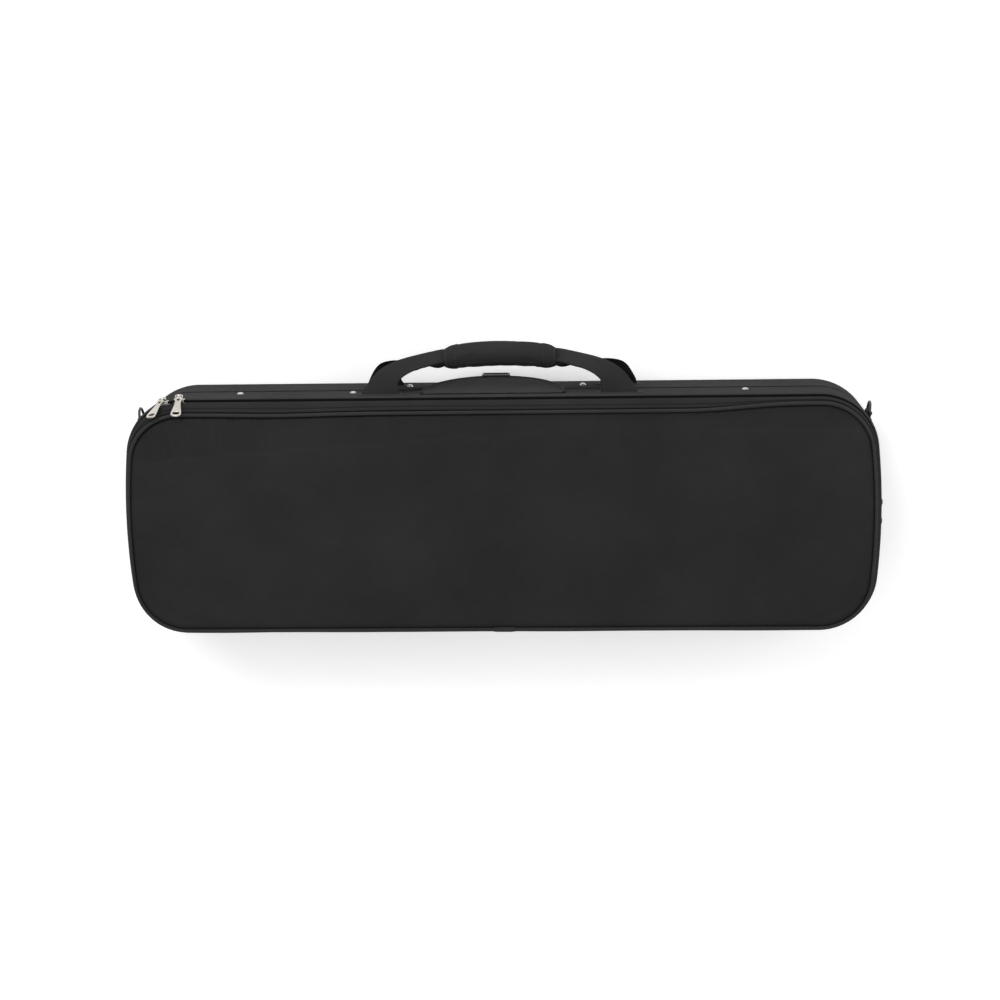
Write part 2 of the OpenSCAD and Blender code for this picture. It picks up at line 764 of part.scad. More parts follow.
base_frame();
base_board();
base_side_cover();
base_back_panel();
base_lining();
base_zip_tape();
hinge_base_leaves();
hinge_pins();
bed_end_blocks();
bed_waist_blocks();
bed_shoulder_blocks();
neck_rails();
end_divider();
suspension_pads();
neck_cradle();
neck_strap();
accessory_box();
accessory_lid();
accessory_pull_tab();
rear_strap();
rear_strap_rivets();
ring_tab_left();
ring_tab_right();
d_ring_left();
d_ring_right();
main_slider_upper();
main_slider_lower();
main_pull_upper();
main_pull_lower();
flap_loop_patch();
lid_frame();
lid_board();
lid_cover();
lid_lining();
lid_zip_tape();
pocket_tape_lower();
hinge_lid_leaves();
cover_screws();
bow_tip_sleeves();
spinner_posts();
bow_spinner_upper();
bow_spinner_lower();
storm_flap();
flap_tip_plate();
flap_hook_patch();
front_strap();
grip_pad();
pocket_panel();
pocket_gusset();
pocket_piping();
pocket_tape_upper();
pocket_slider_left();
pocket_slider_right();
pocket_pull_left();
pocket_pull_right();
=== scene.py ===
"""Looks of the oblong violin case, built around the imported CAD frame. Metres, +Z up."""
import math

import bmesh
import bpy
import numpy as np
from mathutils import Matrix, Vector
from mathutils.geometry import delaunay_2d_cdt


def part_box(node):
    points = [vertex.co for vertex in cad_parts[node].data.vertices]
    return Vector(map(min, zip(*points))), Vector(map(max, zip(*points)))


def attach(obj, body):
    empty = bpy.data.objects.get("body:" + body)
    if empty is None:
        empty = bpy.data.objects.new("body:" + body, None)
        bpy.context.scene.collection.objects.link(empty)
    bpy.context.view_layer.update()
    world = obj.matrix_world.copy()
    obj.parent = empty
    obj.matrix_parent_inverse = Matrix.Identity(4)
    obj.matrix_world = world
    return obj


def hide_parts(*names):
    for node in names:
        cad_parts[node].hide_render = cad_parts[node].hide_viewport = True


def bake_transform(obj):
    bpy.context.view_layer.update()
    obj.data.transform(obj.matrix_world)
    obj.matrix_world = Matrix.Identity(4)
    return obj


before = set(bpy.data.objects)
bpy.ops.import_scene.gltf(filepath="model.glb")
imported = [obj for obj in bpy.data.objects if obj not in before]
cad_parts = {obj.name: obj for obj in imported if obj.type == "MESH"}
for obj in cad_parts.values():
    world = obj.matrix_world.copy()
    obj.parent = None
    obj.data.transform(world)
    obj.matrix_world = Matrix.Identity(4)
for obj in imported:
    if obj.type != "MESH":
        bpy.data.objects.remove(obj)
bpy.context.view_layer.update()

# ---------- Sizes read from the frame ----------

MM = 0.001
HALF_L, HALF_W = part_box("base_side_cover")[1].x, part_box("base_side_cover")[1].y
COVER_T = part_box("base_board")[0].z
BOARD_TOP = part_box("base_board")[1].z
BASE_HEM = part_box("base_side_cover")[1].z
LID_HEM, LID_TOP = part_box("lid_cover")[0].z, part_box("lid_cover")[1].z
SEAM_Z = (BASE_HEM + LID_HEM) / 2
RIM_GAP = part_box("lid_frame")[0].z - SEAM_Z
FLOOR_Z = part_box("neck_cradle")[0].z
LINING_T = FLOOR_Z - BOARD_TOP
WALL_T = HALF_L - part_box("base_lining")[1].x + LINING_T
GUSSET_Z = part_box("pocket_gusset")[0].z
POCKET_ZIP_Z = (LID_TOP + GUSSET_Z) / 2
PIPING_R = (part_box("pocket_piping")[1].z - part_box("pocket_piping")[0].z) / 2
PIPING_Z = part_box("pocket_piping")[0].z + PIPING_R
PIPING_INSET = HALF_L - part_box("pocket_piping")[1].x + PIPING_R

# The plan outline, as the CAD draws it: straight sides, bowed ends and tangent corner arcs
CORNER_R, END_R = 62 * MM, 700 * MM
END_X = HALF_L - END_R
CORNER_Y = HALF_W - CORNER_R
CORNER_X = END_X + math.sqrt((END_R - CORNER_R) ** 2 - CORNER_Y ** 2)
END_ANGLE = math.atan2(CORNER_Y, CORNER_X - END_X)
MEDIAL_FROM = 50 * MM    # insets beyond this shrink towards the middle line
MEDIAL_X = HALF_L - HALF_W

# ---------- Small tools ----------


def smoothstep(t):
    t = np.clip(t, 0, 1)
    return t * t * (3 - 2 * t)


def ripple(points, wavelength, seed):
    """Smooth irregular height from about -1 to 1 at the given points."""
    rng = np.random.default_rng(seed)
    k = rng.normal(size=(14, 3))
    k *= 2 * math.pi / wavelength * rng.uniform(0.7, 1.4, (14, 1)) / np.linalg.norm(k, axis=1)[:, None]
    return np.sin(points @ k.T + rng.uniform(0, 2 * math.pi, 14)).mean(1) * 2


def arc(cx, cy, r, a0, a1, step):
    """Points with outward normals along an arc, without its last point."""
    n = max(1, round(r * abs(a1 - a0) / step))
    a = a0 + (a1 - a0) * np.arange(n) / n
    return np.c_[cx + r * np.cos(a), cy + r * np.sin(a), np.cos(a), np.sin(a)]


def straight(x0, x1, y, step):
    n = max(1, round(abs(x1 - x0) / step))
    x = x0 + (x1 - x0) * np.arange(n) / n
    return np.c_[x, np.full(n, y), np.zeros(n), np.full(n, np.sign(y))]


def outline(step=5 * MM):
    """The plan outline's points and outward normals, counter-clockwise from the middle of the +X end."""
    pi, e = math.pi, END_ANGLE
    p = np.concatenate([
        arc(END_X, 0, END_R, 0, e, step),
        arc(CORNER_X, CORNER_Y, CORNER_R, e, pi / 2, step / 2),
        straight(CORNER_X, -CORNER_X, HALF_W, step),
        arc(-CORNER_X, CORNER_Y, CORNER_R, pi / 2, pi - e, step / 2),
        arc(-END_X, 0, END_R, pi - e, pi + e, step),
        arc(-CORNER_X, -CORNER_Y, CORNER_R, pi + e, 1.5 * pi, step / 2),
        straight(-CORNER_X, CORNER_X, -HALF_W, step),
        arc(CORNER_X, -CORNER_Y, CORNER_R, -pi / 2, -e, step / 2),
        arc(END_X, 0, END_R, -e, 0, step)])
    return p[:, :2], p[:, 2:]


def plan_ring(inset, z, drop=0.0, step=5 * MM):
    """The outline at height z, moved in by inset, and on the handle side by drop of the sag as well."""
    p, n = outline(step)
    q = p - n * min(inset, MEDIAL_FROM)
    if inset > MEDIAL_FROM:
        middle = np.c_[np.clip(p[:, 0], -MEDIAL_X, MEDIAL_X), np.zeros(len(p))]
        q += (middle - q) * (inset - MEDIAL_FROM) / (HALF_W - MEDIAL_FROM)
    q[:, 1] -= drop * panel_sag(q[:, 0]) * np.clip(q[:, 1], 0, None) / HALF_W
    return np.c_[q, np.full(len(q), z)]


def panel_sag(x):
    """How far the soft panel hangs in from the handle side: least at the right end."""
    return 7.2 * MM - 6.7 * MM * smoothstep((x - 0.19) / 0.12) + 1.6 * MM * np.exp(-((x + 0.23) / 0.06) ** 2)


def rounded(corners, closed=True, steps=5):
    """A path through corners (x, y, radius), each turned by an arc."""
    out, n = [], len(corners)
    for i, (x, y, r) in enumerate(corners):
        p = np.array([x, y], float)
        if r <= 0 or (not closed and i in (0, n - 1)):
            out.append(p)
            continue
        a = np.array(corners[i - 1][:2], float) - p
        b = np.array(corners[(i + 1) % n][:2], float) - p
        la, lb = np.linalg.norm(a), np.linalg.norm(b)
        a, b = a / la, b / lb
        half = math.acos(max(-1, min(1, float(a @ b)))) / 2
        cut = min(r / math.tan(half), la * 0.49, lb * 0.49)
        r = cut * math.tan(half)
        centre = p + (a + b) / np.linalg.norm(a + b) * r / math.sin(half)
        v0, v1 = p + a * cut - centre, p + b * cut - centre
        turn = math.atan2(v0[0] * v1[1] - v0[1] * v1[0], v0 @ v1)
        for k in range(steps + 1):
            t = turn * k / steps
            c, s = math.cos(t), math.sin(t)
            out.append(centre + [c * v0[0] - s * v0[1], s * v0[0] + c * v0[1]])
    return np.array(out)


def dense(path, step, closed=True):
    """The path with points added wherever two are further apart than step."""
    out, n = [], len(path)
    for i in range(n if closed else n - 1):
        a, b = path[i], path[(i + 1) % n]
        k = max(1, math.ceil(np.linalg.norm(b - a) / step - 1e-6))
        out += [a + (b - a) * j / k for j in range(k)]
    if not closed:
        out.append(path[-1])
    return np.array(out)


def resampled(path, count):
    """The same open path with count evenly spaced points."""
    s = run_length(path)
    at = np.linspace(0, s[-1], count)
    return np.stack([np.interp(at, s, path[:, k]) for k in range(path.shape[1])], 1)


def tangents(path, closed):
    if closed:
        t = np.roll(path, -1, 0) - np.roll(path, 1, 0)
    else:
        t = np.gradient(path, axis=0)
    return t / np.maximum(np.linalg.norm(t, axis=1), 1e-12)[:, None]


def run_length(path, closed=False):
    """Arc length at each point, with the whole length last when the path is closed."""
    ends = np.concatenate([path, path[:1]]) if closed else path
    return np.concatenate([[0], np.cumsum(np.linalg.norm(np.diff(ends, axis=0), axis=1))])


# ---------- Making pieces ----------

materials = {}


def add_piece(name, verts, faces, body, look, replaces=(), uv=None, smooth=True, weld=0.0):
    """A mesh object in the row frame that rides on body. look names its material."""
    mesh = bpy.data.meshes.new(name)
    mesh.from_pydata(np.asarray(verts, float).tolist(), [], [list(map(int, f)) for f in faces])
    if uv is not None:
        mesh.uv_layers.new(name="weave").data.foreach_set("uv", np.asarray(uv, np.float32).ravel())
    bm = bmesh.new()
    bm.from_mesh(mesh)
    if weld:
        bmesh.ops.remove_doubles(bm, verts=bm.verts, dist=weld)
        bmesh.ops.dissolve_degenerate(bm, edges=bm.edges, dist=weld)
    bmesh.ops.recalc_face_normals(bm, faces=bm.faces)
    bm.to_mesh(mesh)
    bm.free()
    mesh.polygons.foreach_set("use_smooth", [smooth] * len(mesh.polygons))
    ob = bpy.data.objects.new(name, mesh)
    bpy.context.scene.collection.objects.link(ob)
    return dress(ob, body, look, replaces)


def dress(ob, body, look, replaces=()):
    ob.data.materials.clear()
    ob.data.materials.append(materials[look])
    if body:
        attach(ob, body)
    if replaces:
        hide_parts(*replaces)
    return ob


def grid_faces(rows, cols, close_rows, close_cols):
    i, j = np.meshgrid(np.arange(rows if close_rows else rows - 1),
                       np.arange(cols if close_cols else cols - 1), indexing="ij")
    i, j = i.ravel(), j.ravel()
    i1, j1 = (i + 1) % rows, (j + 1) % cols
    return np.c_[i * cols + j, i * cols + j1, i1 * cols + j1, i1 * cols + j], (i, j)


def grid_piece(name, grid, body, look, close_rows=False, close_cols=False, caps=False, **more):
    """A piece through a grid of points (rows, columns, 3), with UVs in metres along columns and rows."""
    rows, cols = grid.shape[:2]
    faces, (i, j) = grid_faces(rows, cols, close_rows, close_cols)
    u = run_length(grid[rows // 2], close_cols)
    v = run_length(grid[:, cols // 3], close_rows)
    uv = np.stack([np.c_[u[j], v[i]], np.c_[u[j + 1], v[i]], np.c_[u[j + 1], v[i + 1]],
                   np.c_[u[j], v[i + 1]]], 1).reshape(-1, 2)
    faces = faces.tolist()
    if caps:
        for ring in ([k * cols for k in range(rows)], [k * cols + cols - 1 for k in range(rows)]):
            faces.append(ring)
            uv = np.concatenate([uv, grid.reshape(-1, 3)[ring][:, 1:]])
    return add_piece(name, grid.reshape(-1, 3), faces, body, look, uv=uv, **more)


def band_grid(profile, step=5 * MM):
    """Rings of the plan outline through a profile of (inset, z, share of the panel's sag)."""
    return np.array([plan_ring(p[0], p[1], p[2] if len(p) > 2 else 0.0, step) for p in profile])


def tube_grid(path, radius, sides=10, closed=False, up=(0, 0, 1)):
    """Rings round a path. radius is one value or one per point."""
    t = tangents(path, closed)
    up = np.broadcast_to(np.asarray(up, float), t.shape)
    side = np.cross(t, up)
    side /= np.maximum(np.linalg.norm(side, axis=1), 1e-9)[:, None]
    over = np.cross(side, t)
    a = 2 * math.pi * np.arange(sides) / sides
    r = np.broadcast_to(radius, len(path))[:, None, None]
    return path[:, None] + r * (np.cos(a)[None, :, None] * side[:, None]
                                + np.sin(a)[None, :, None] * over[:, None])


def tube_piece(name, path, radius, body, look, sides=10, closed=False, up=(0, 0, 1), **more):
    grid = tube_grid(path, radius, sides, closed, up)
    grid = np.swapaxes(grid, 0, 1)       # rows go round the tube, columns along it
    return grid_piece(name, grid, body, look, close_rows=True, close_cols=closed, caps=not closed, **more)


def stitch_row(path, normals, length=3.0 * MM, space=1.3 * MM, thick=0.35 * MM, closed=False, sunk=0.1 * MM):
    """Vertices and faces of a row of stitches along a path, lying on the surface with these normals."""
    s = run_length(path, closed)
    count = max(1, int(s[-1] / (length + space)))
    middle = (np.arange(count) + 0.5) * s[-1] / count
    ends = np.concatenate([path, path[:1]]) if closed else path
    norm = np.concatenate([normals, normals[:1]]) if closed else normals
    at = lambda d: np.stack([np.interp(d, s, ends[:, k]) for k in range(3)], 1)
    up = np.stack([np.interp(middle, s, norm[:, k]) for k in range(3)], 1)
    up /= np.linalg.norm(up, axis=1)[:, None]
    a, b = at(middle - length / 2), at(middle + length / 2)
    along = b - a
    side = np.cross(along, up)
    side /= np.maximum(np.linalg.norm(side, axis=1), 1e-9)[:, None]
    rings, sides = 5, 6
    t = np.linspace(0, 1, rings)
    bulge = np.sqrt(np.clip(1 - (2 * t - 1) ** 4, 0.05, 1)) * thick
    dip = (1 - np.sin(math.pi * t)) * thick * 1.2 + sunk
    ang = 2 * math.pi * np.arange(sides) / sides
    centre = a[:, None] + along[:, None] * t[None, :, None] - up[:, None] * dip[None, :, None]
    v = (centre[:, :, None] + side[:, None, None] * (np.cos(ang) * bulge[:, None])[None, :, :, None]
         + up[:, None, None] * (np.sin(ang) * bulge[:, None])[None, :, :, None])
    faces, _ = grid_faces(rings, sides, False, True)
    cap = [list(range(sides))[::-1], [(rings - 1) * sides + k for k in range(sides)]]
    faces = faces.tolist() + cap
    n = rings * sides
    return v.reshape(-1, 3), [[f + k * n for f in face] for k in range(count) for face in faces]


def stitches(name, rows, body, look="thread", **more):
    """One piece made of several stitch rows, each given as (path, normals) with stitch_row's settings."""
    verts, faces, n = [], [], 0
    for row in rows:
        v, f = stitch_row(row[0], row[1], **{**more, **(row[2] if len(row) > 2 else {})})
        verts.append(v)
        faces += [[k + n for k in face] for face in f]
        n += len(v)
    return add_piece(name, np.concatenate(verts), faces, body, look)


def turned(name, profile, matrix, body, look, sides=32, replaces=()):
    """A solid of revolution about local Z through a profile of (radius, height)."""
    profile = np.asarray(profile, float)
    a = 2 * math.pi * np.arange(sides) / sides
    grid = np.stack([np.c_[r * np.cos(a), r * np.sin(a), np.full(sides, z)] for r, z in profile])
    verts, faces, n = [], [], 0
    quads, _ = grid_faces(len(profile), sides, False, True)
    for m in matrix:
        v = grid.reshape(-1, 3) @ np.array(m)[:3, :3].T + np.array(m)[:3, 3]
        verts.append(v)
        faces += (quads + n).tolist()
        n += len(v)
    return add_piece(name, np.concatenate(verts), faces, body, look, replaces, weld=1e-6)


def plate_mesh(loops, thickness, bevel, resolution=3):
    """Vertices and faces of a flat plate with holes and round edges, centred on local z = 0."""
    curve = bpy.data.curves.new("plate", "CURVE")
    curve.dimensions, curve.fill_mode = "2D", "BOTH"
    curve.extrude, curve.bevel_depth, curve.bevel_resolution = thickness / 2 - bevel, bevel, resolution
    curve.offset = -bevel
    for loop in loops:
        spline = curve.splines.new("POLY")
        spline.points.add(len(loop) - 1)
        spline.points.foreach_set("co", np.c_[loop, np.zeros(len(loop)), np.ones(len(loop))].ravel())
        spline.use_cyclic_u = True
    ob = bpy.data.objects.new("plate", curve)
    bpy.context.scene.collection.objects.link(ob)
    mesh = bpy.data.meshes.new_from_object(ob.evaluated_get(bpy.context.evaluated_depsgraph_get()))
    verts = np.array([v.co for v in mesh.vertices])
    faces = [list(f.vertices) for f in mesh.polygons]
    bpy.data.objects.remove(ob)
    bpy.data.curves.remove(curve)
    bpy.data.meshes.remove(mesh)
    return verts, faces


def placed(verts, matrix):
    m = np.array(matrix)
    return verts @ m[:3, :3].T + m[:3, 3]


def merged(parts):
    """Joins (vertices, faces) pairs into one."""
    verts, faces, n = [], [], 0
    for v, f in parts:
        verts.append(v)
        faces += [[k + n for k in face] for face in f]
        n += len(v)
    return np.concatenate(verts), faces


# ---------- Materials ----------


class Nodes:
    """Short calls for building a node material."""

    def __init__(self, name):
        self.material = bpy.data.materials.new(name)
        self.material.use_nodes = True
        self.tree = self.material.node_tree
        self.tree.nodes.clear()
        output = self.tree.nodes.new("ShaderNodeOutputMaterial")
        self.shader = self.tree.nodes.new("ShaderNodeBsdfPrincipled")
        self.tree.links.new(self.shader.outputs[0], output.inputs[0])
        materials[name] = self.material
        self.place = self.tree.nodes.new("ShaderNodeTexCoord").outputs["Object"]
        uv = self.tree.nodes.new("ShaderNodeUVMap")
        uv.uv_map = "weave"
        self.uv = uv.outputs[0]

    def node(self, kind, inputs=(), **settings):
        n = self.tree.nodes.new(kind)
        for key, value in settings.items():
            setattr(n, key, value)
        for key, value in dict(inputs).items():
            self.put(n.inputs[key], value)
        return n

    def put(self, socket, value):
        if isinstance(value, bpy.types.NodeSocket):
            self.tree.links.new(value, socket)
        else:
            socket.default_value = value

    def math(self, operation, a, b=0.0, c=0.0):
        return self.node("ShaderNodeMath", {0: a, 1: b, 2: c}, operation=operation).outputs[0]

    def wave(self, coordinate, pitch, phase=0.0):
        """0 to 1 and back once every pitch."""
        s = self.math("SINE", self.math("MULTIPLY_ADD", coordinate, 2 * math.pi / pitch, phase))
        return self.math("MULTIPLY_ADD", s, 0.5, 0.5)

    def noise(self, scale, detail=3.0, rough=0.5, at=None, distortion=0.0):
        return self.node("ShaderNodeTexNoise", {"Vector": self.place if at is None else at, "Scale": scale,
                                                "Detail": detail, "Roughness": rough,
                                                "Distortion": distortion}).outputs["Fac"]

    def between(self, value, low, high, low_in=0.0, high_in=1.0):
        """value mapped from its input range to low..high."""
        return self.node("ShaderNodeMapRange", {"Value": value, "From Min": low_in, "From Max": high_in,
                                                "To Min": low, "To Max": high}).outputs[0]

    def mix(self, share, a, b):
        n = self.node("ShaderNodeMix", data_type="RGBA")
        self.put(n.inputs[0], share)
        self.put(n.inputs[6], (*a, 1) if isinstance(a, tuple) else a)
        self.put(n.inputs[7], (*b, 1) if isinstance(b, tuple) else b)
        return n.outputs[2]

    def bump(self, height, distance, strength=1.0, below=None):
        inputs = {"Height": height, "Distance": distance, "Strength": strength}
        if below is not None:
            inputs["Normal"] = below
        return self.node("ShaderNodeBump", inputs).outputs[0]

    def finish(self, **values):
        for key, value in values.items():
            self.put(self.shader.inputs[key.replace("_", " ").title().replace("Ior", "IOR")], value)
        return self.material


def weave(m, pitch_u, pitch_v, at=None):
    """Plain weave: height from over-and-under threads, and the share of warp showing."""
    uv = m.node("ShaderNodeSeparateXYZ", {0: m.uv if at is None else at}).outputs
    wobble = m.math("MULTIPLY_ADD", m.noise(60, 2), 0.0016, -0.0008)
    u = m.math("ADD", uv[0], wobble)
    v = m.math("ADD", uv[1], wobble)
    warp = m.math("ABSOLUTE", m.math("SINE", m.math("MULTIPLY", u, math.pi / pitch_u)))
    weft = m.math("ABSOLUTE", m.math("SINE", m.math("MULTIPLY", v, math.pi / pitch_v)))
    over = m.math("MULTIPLY", m.math("COSINE", m.math("MULTIPLY", u, math.pi / pitch_u)),
                  m.math("COSINE", m.math("MULTIPLY", v, math.pi / pitch_v)))
    share = m.between(over, 0, 1, -0.5, 0.5)
    height = m.math("MAXIMUM", m.math("MULTIPLY", warp, share),
                    m.math("MULTIPLY", weft, m.math("SUBTRACT", 1.0, share)))
    return height, share


def fabric(name, dark, light, pitch=(0.9 * MM, 0.7 * MM), rough=(0.72, 0.9), sheen=0.03, depth=0.3 * MM,
           specular=0.0, slubs=0.2, lint=1.6):
    """Woven cloth: threads, slubs, soft wear in broad patches and a fuzzy bump."""
    m = Nodes(name)
    height, share = weave(m, *pitch)
    stretch = m.node("ShaderNodeVectorMath", {0: m.uv, 1: (120, 700, 1)}, operation="MULTIPLY").outputs[0]
    slub = m.noise(1.0, 2, at=stretch)
    patches = m.noise(9, 4, 0.6)
    dust = m.noise(420, 2, 0.7)
    tone = m.math("MULTIPLY_ADD", patches, 0.4, m.math("MULTIPLY_ADD", slub, slubs, m.math(
        "MULTIPLY_ADD", height, 0.35, m.math("MULTIPLY", share, 0.12))))
    colour = m.mix(m.between(tone, 0, 1, 0.22 + slubs * 0.2, 0.75 + slubs * 0.5), dark, light)
    colour = m.mix(m.between(dust, 0, 0.3, 0.64, 0.82), colour, tuple(min(1, c * lint) for c in light))
    surface = m.math("MULTIPLY_ADD", slub, slubs * 0.7, height)
    m.shader.inputs["Sheen Weight"].default_value = sheen
    m.shader.inputs["Sheen Roughness"].default_value = 0.45
    m.shader.inputs["Sheen Tint"].default_value = (1, 0.98, 0.95, 1)
    m.shader.inputs["Specular IOR Level"].default_value = specular
    return m.finish(base_color=colour, roughness=m.between(patches, *rough, 0.3, 0.7),
                    normal=m.bump(surface, depth, 0.9, m.bump(m.noise(35, 4), 0.6 * MM, 0.35)))


def ribbed(name, dark, light, pitch=1.5 * MM, across="v", sheen=0.03, rough=(0.6, 0.8), specular=0.02,
           depth=0.3 * MM):
    """Webbing: ribs along one way, broken into stitches the other way."""
    m = Nodes(name)
    uv = m.node("ShaderNodeSeparateXYZ", {0: m.uv}).outputs
    u, v = (uv[0], uv[1]) if across == "v" else (uv[1], uv[0])
    ribs = m.wave(v, pitch)
    half = m.math("MULTIPLY", m.math("GREATER_THAN", m.math("SINE", m.math("MULTIPLY", v, math.pi / pitch)),
                                     0), math.pi)
    picks = m.math("MULTIPLY_ADD", m.math("SINE", m.math("MULTIPLY_ADD", u, 2 * math.pi / (pitch * 1.25),
                                                         half)), 0.5, 0.5)
    height = m.math("MULTIPLY", m.math("POWER", ribs, 0.6), m.between(picks, 0.62, 1))
    worn = m.noise(22, 4, 0.6)
    tone = m.math("MULTIPLY_ADD", height, 0.65, m.math("MULTIPLY", worn, 0.4))
    m.shader.inputs["Sheen Weight"].default_value = sheen
    m.shader.inputs["Sheen Roughness"].default_value = 0.4
    m.shader.inputs["Specular IOR Level"].default_value = specular
    return m.finish(base_color=m.mix(m.between(tone, 0, 1, 0.2, 0.95), dark, light),
                    roughness=m.between(worn, *rough, 0.3, 0.7), normal=m.bump(height, depth, 0.8))


def pile(name, dark, light, size=700, sheen=0.7, depth=0.8 * MM):
    """Plush or loop pile: fine tufts with light and dark strokes."""
    m = Nodes(name)
    tufts = m.noise(size, 3, 0.7, distortion=0.4)
    strokes = m.noise(14, 4, 0.6)
    tone = m.math("MULTIPLY_ADD", tufts, 0.6, m.math("MULTIPLY", strokes, 0.5))
    m.shader.inputs["Sheen Weight"].default_value = sheen
    m.shader.inputs["Sheen Roughness"].default_value = 0.35
    m.shader.inputs["Specular IOR Level"].default_value = 0.0
    return m.finish(base_color=m.mix(m.between(tone, 0, 1, 0.3, 0.8), dark, light),
                    roughness=m.between(strokes, 0.8, 0.98, 0.3, 0.7),
                    normal=m.bump(tufts, depth, 0.7, m.bump(strokes, 1.5 * MM, 0.4)))


def metal(name, dark, light, rough=(0.12, 0.3), scratch=0.35, metallic=1.0, coat=0.0):
    """Plated metal with fine scratches and smudges."""
    m = Nodes(name)
    smudge = m.noise(70, 5, 0.65)
    stretch = m.node("ShaderNodeVectorMath", {0: m.place, 1: (3000, 260, 260)},
                     operation="MULTIPLY").outputs[0]
    lines = m.noise(1.0, 4, 0.7, at=stretch)
    pits = m.noise(1600, 2, 0.6)
    tone = m.math("MULTIPLY_ADD", smudge, 0.7, m.math("MULTIPLY", lines, 0.3))
    m.shader.inputs["Metallic"].default_value = metallic
    m.shader.inputs["Coat Weight"].default_value = coat
    m.shader.inputs["Coat Roughness"].default_value = 0.15
    return m.finish(base_color=m.mix(m.between(tone, 0, 1, 0.3, 0.7), dark, light),
                    roughness=m.between(m.math("MULTIPLY_ADD", lines, 0.4, m.math("MULTIPLY", smudge, 0.6)),
                                        *rough, 0.3, 0.7),
                    normal=m.bump(m.math("MULTIPLY_ADD", pits, 0.4, lines), 0.04 * MM, scratch))


def speckled(name, dark, light, size, rough=(0.7, 0.95), depth=0.3 * MM, specular=0.3, coat=0.0):
    """Moulded foam, board or plastic: grain at one size over broad tones."""
    m = Nodes(name)
    cells = m.node("ShaderNodeTexVoronoi", {"Vector": m.place, "Scale": size}).outputs["Distance"]
    broad = m.noise(18, 4, 0.6)
    m.shader.inputs["Specular IOR Level"].default_value = specular
    m.shader.inputs["Coat Weight"].default_value = coat
    tone = m.math("MULTIPLY_ADD", cells, 0.8, m.math("MULTIPLY", broad, 0.5))
    return m.finish(base_color=m.mix(m.between(tone, 0, 1, 0.2, 0.9), dark, light),
                    roughness=m.between(broad, *rough, 0.3, 0.7), normal=m.bump(cells, depth, 0.6))


fabric("cover_fabric", (0.020, 0.020, 0.0205), (0.062, 0.062, 0.063))
fabric("panel_fabric", (0.014, 0.014, 0.0145), (0.037, 0.037, 0.038), pitch=(0.8 * MM, 0.8 * MM), slubs=0.1,
       lint=1.2)
fabric("piping", (0.016, 0.016, 0.0165), (0.048, 0.048, 0.049), pitch=(0.8 * MM, 0.8 * MM), rough=(0.5, 0.7),
       specular=0.05)
fabric("grip_fabric", (0.014, 0.014, 0.014), (0.042, 0.0415, 0.041), pitch=(0.7 * MM, 0.7 * MM), slubs=0.1)
ribbed("webbing", (0.012, 0.012, 0.012), (0.039, 0.038, 0.037), pitch=1.0 * MM, depth=0.18 * MM)
# A near-black copy of the webbing: painted shade, for the rear strap that lies in the handle's shadow and for
# the piping lip in the groove beside the piping.
ribbed("webbing_painted_shade", (0.005, 0.005, 0.005), (0.018, 0.018, 0.018), pitch=1.2 * MM)
ribbed("binding", (0.016, 0.016, 0.016), (0.052, 0.051, 0.050), pitch=0.9 * MM)
ribbed("zip_tape", (0.003, 0.003, 0.003), (0.010, 0.010, 0.010), pitch=0.8 * MM)
speckled("coil", (0.003, 0.003, 0.003), (0.010, 0.010, 0.010), 2500, (0.4, 0.6), 0.03 * MM, 0.15)
ribbed("thread", (0.016, 0.016, 0.016), (0.060, 0.059, 0.058), pitch=0.25 * MM)
speckled("foam_shell", (0.40, 0.39, 0.36), (0.72, 0.71, 0.67), 900, (0.8, 0.95), 0.25 * MM, 0.1)
pile("plush", (0.030, 0.034, 0.040), (0.13, 0.145, 0.17), sheen=0.3)
pile("plush_dark", (0.010, 0.011, 0.013), (0.05, 0.054, 0.06), sheen=0.25)
pile("hook_and_loop", (0.006, 0.006, 0.006), (0.04, 0.04, 0.04), 2200, 0.15, 0.5 * MM)
metal("nickel", (0.33, 0.31, 0.28), (0.60, 0.57, 0.52))
metal("black_metal", (0.006, 0.006, 0.006), (0.020, 0.019, 0.018), (0.3, 0.5), 0.3, 0.0, 0.1)
metal("hinge_steel", (0.30, 0.29, 0.27), (0.55, 0.54, 0.52), (0.25, 0.45), 0.5)
speckled("black_plastic", (0.010, 0.010, 0.010), (0.035, 0.035, 0.035), 1600, (0.35, 0.55), 0.06 * MM, 0.45)

# ---------- Shell fabric ----------

def round_profile(centre, r, a0, a1, steps=7):
    """A rounded corner of a profile in (inset, height)."""
    a = np.linspace(a0, a1, steps)
    return [[centre[0] - r * math.cos(t), centre[1] + r * math.sin(t)] for t in a]


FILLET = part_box("base_side_cover")[1].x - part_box("base_back_panel")[1].x
LID_ROUND = 5 * MM


def closed_band(outer, inner):
    """A band's closed profile: out along one face and back along the other."""
    return outer + inner[::-1]


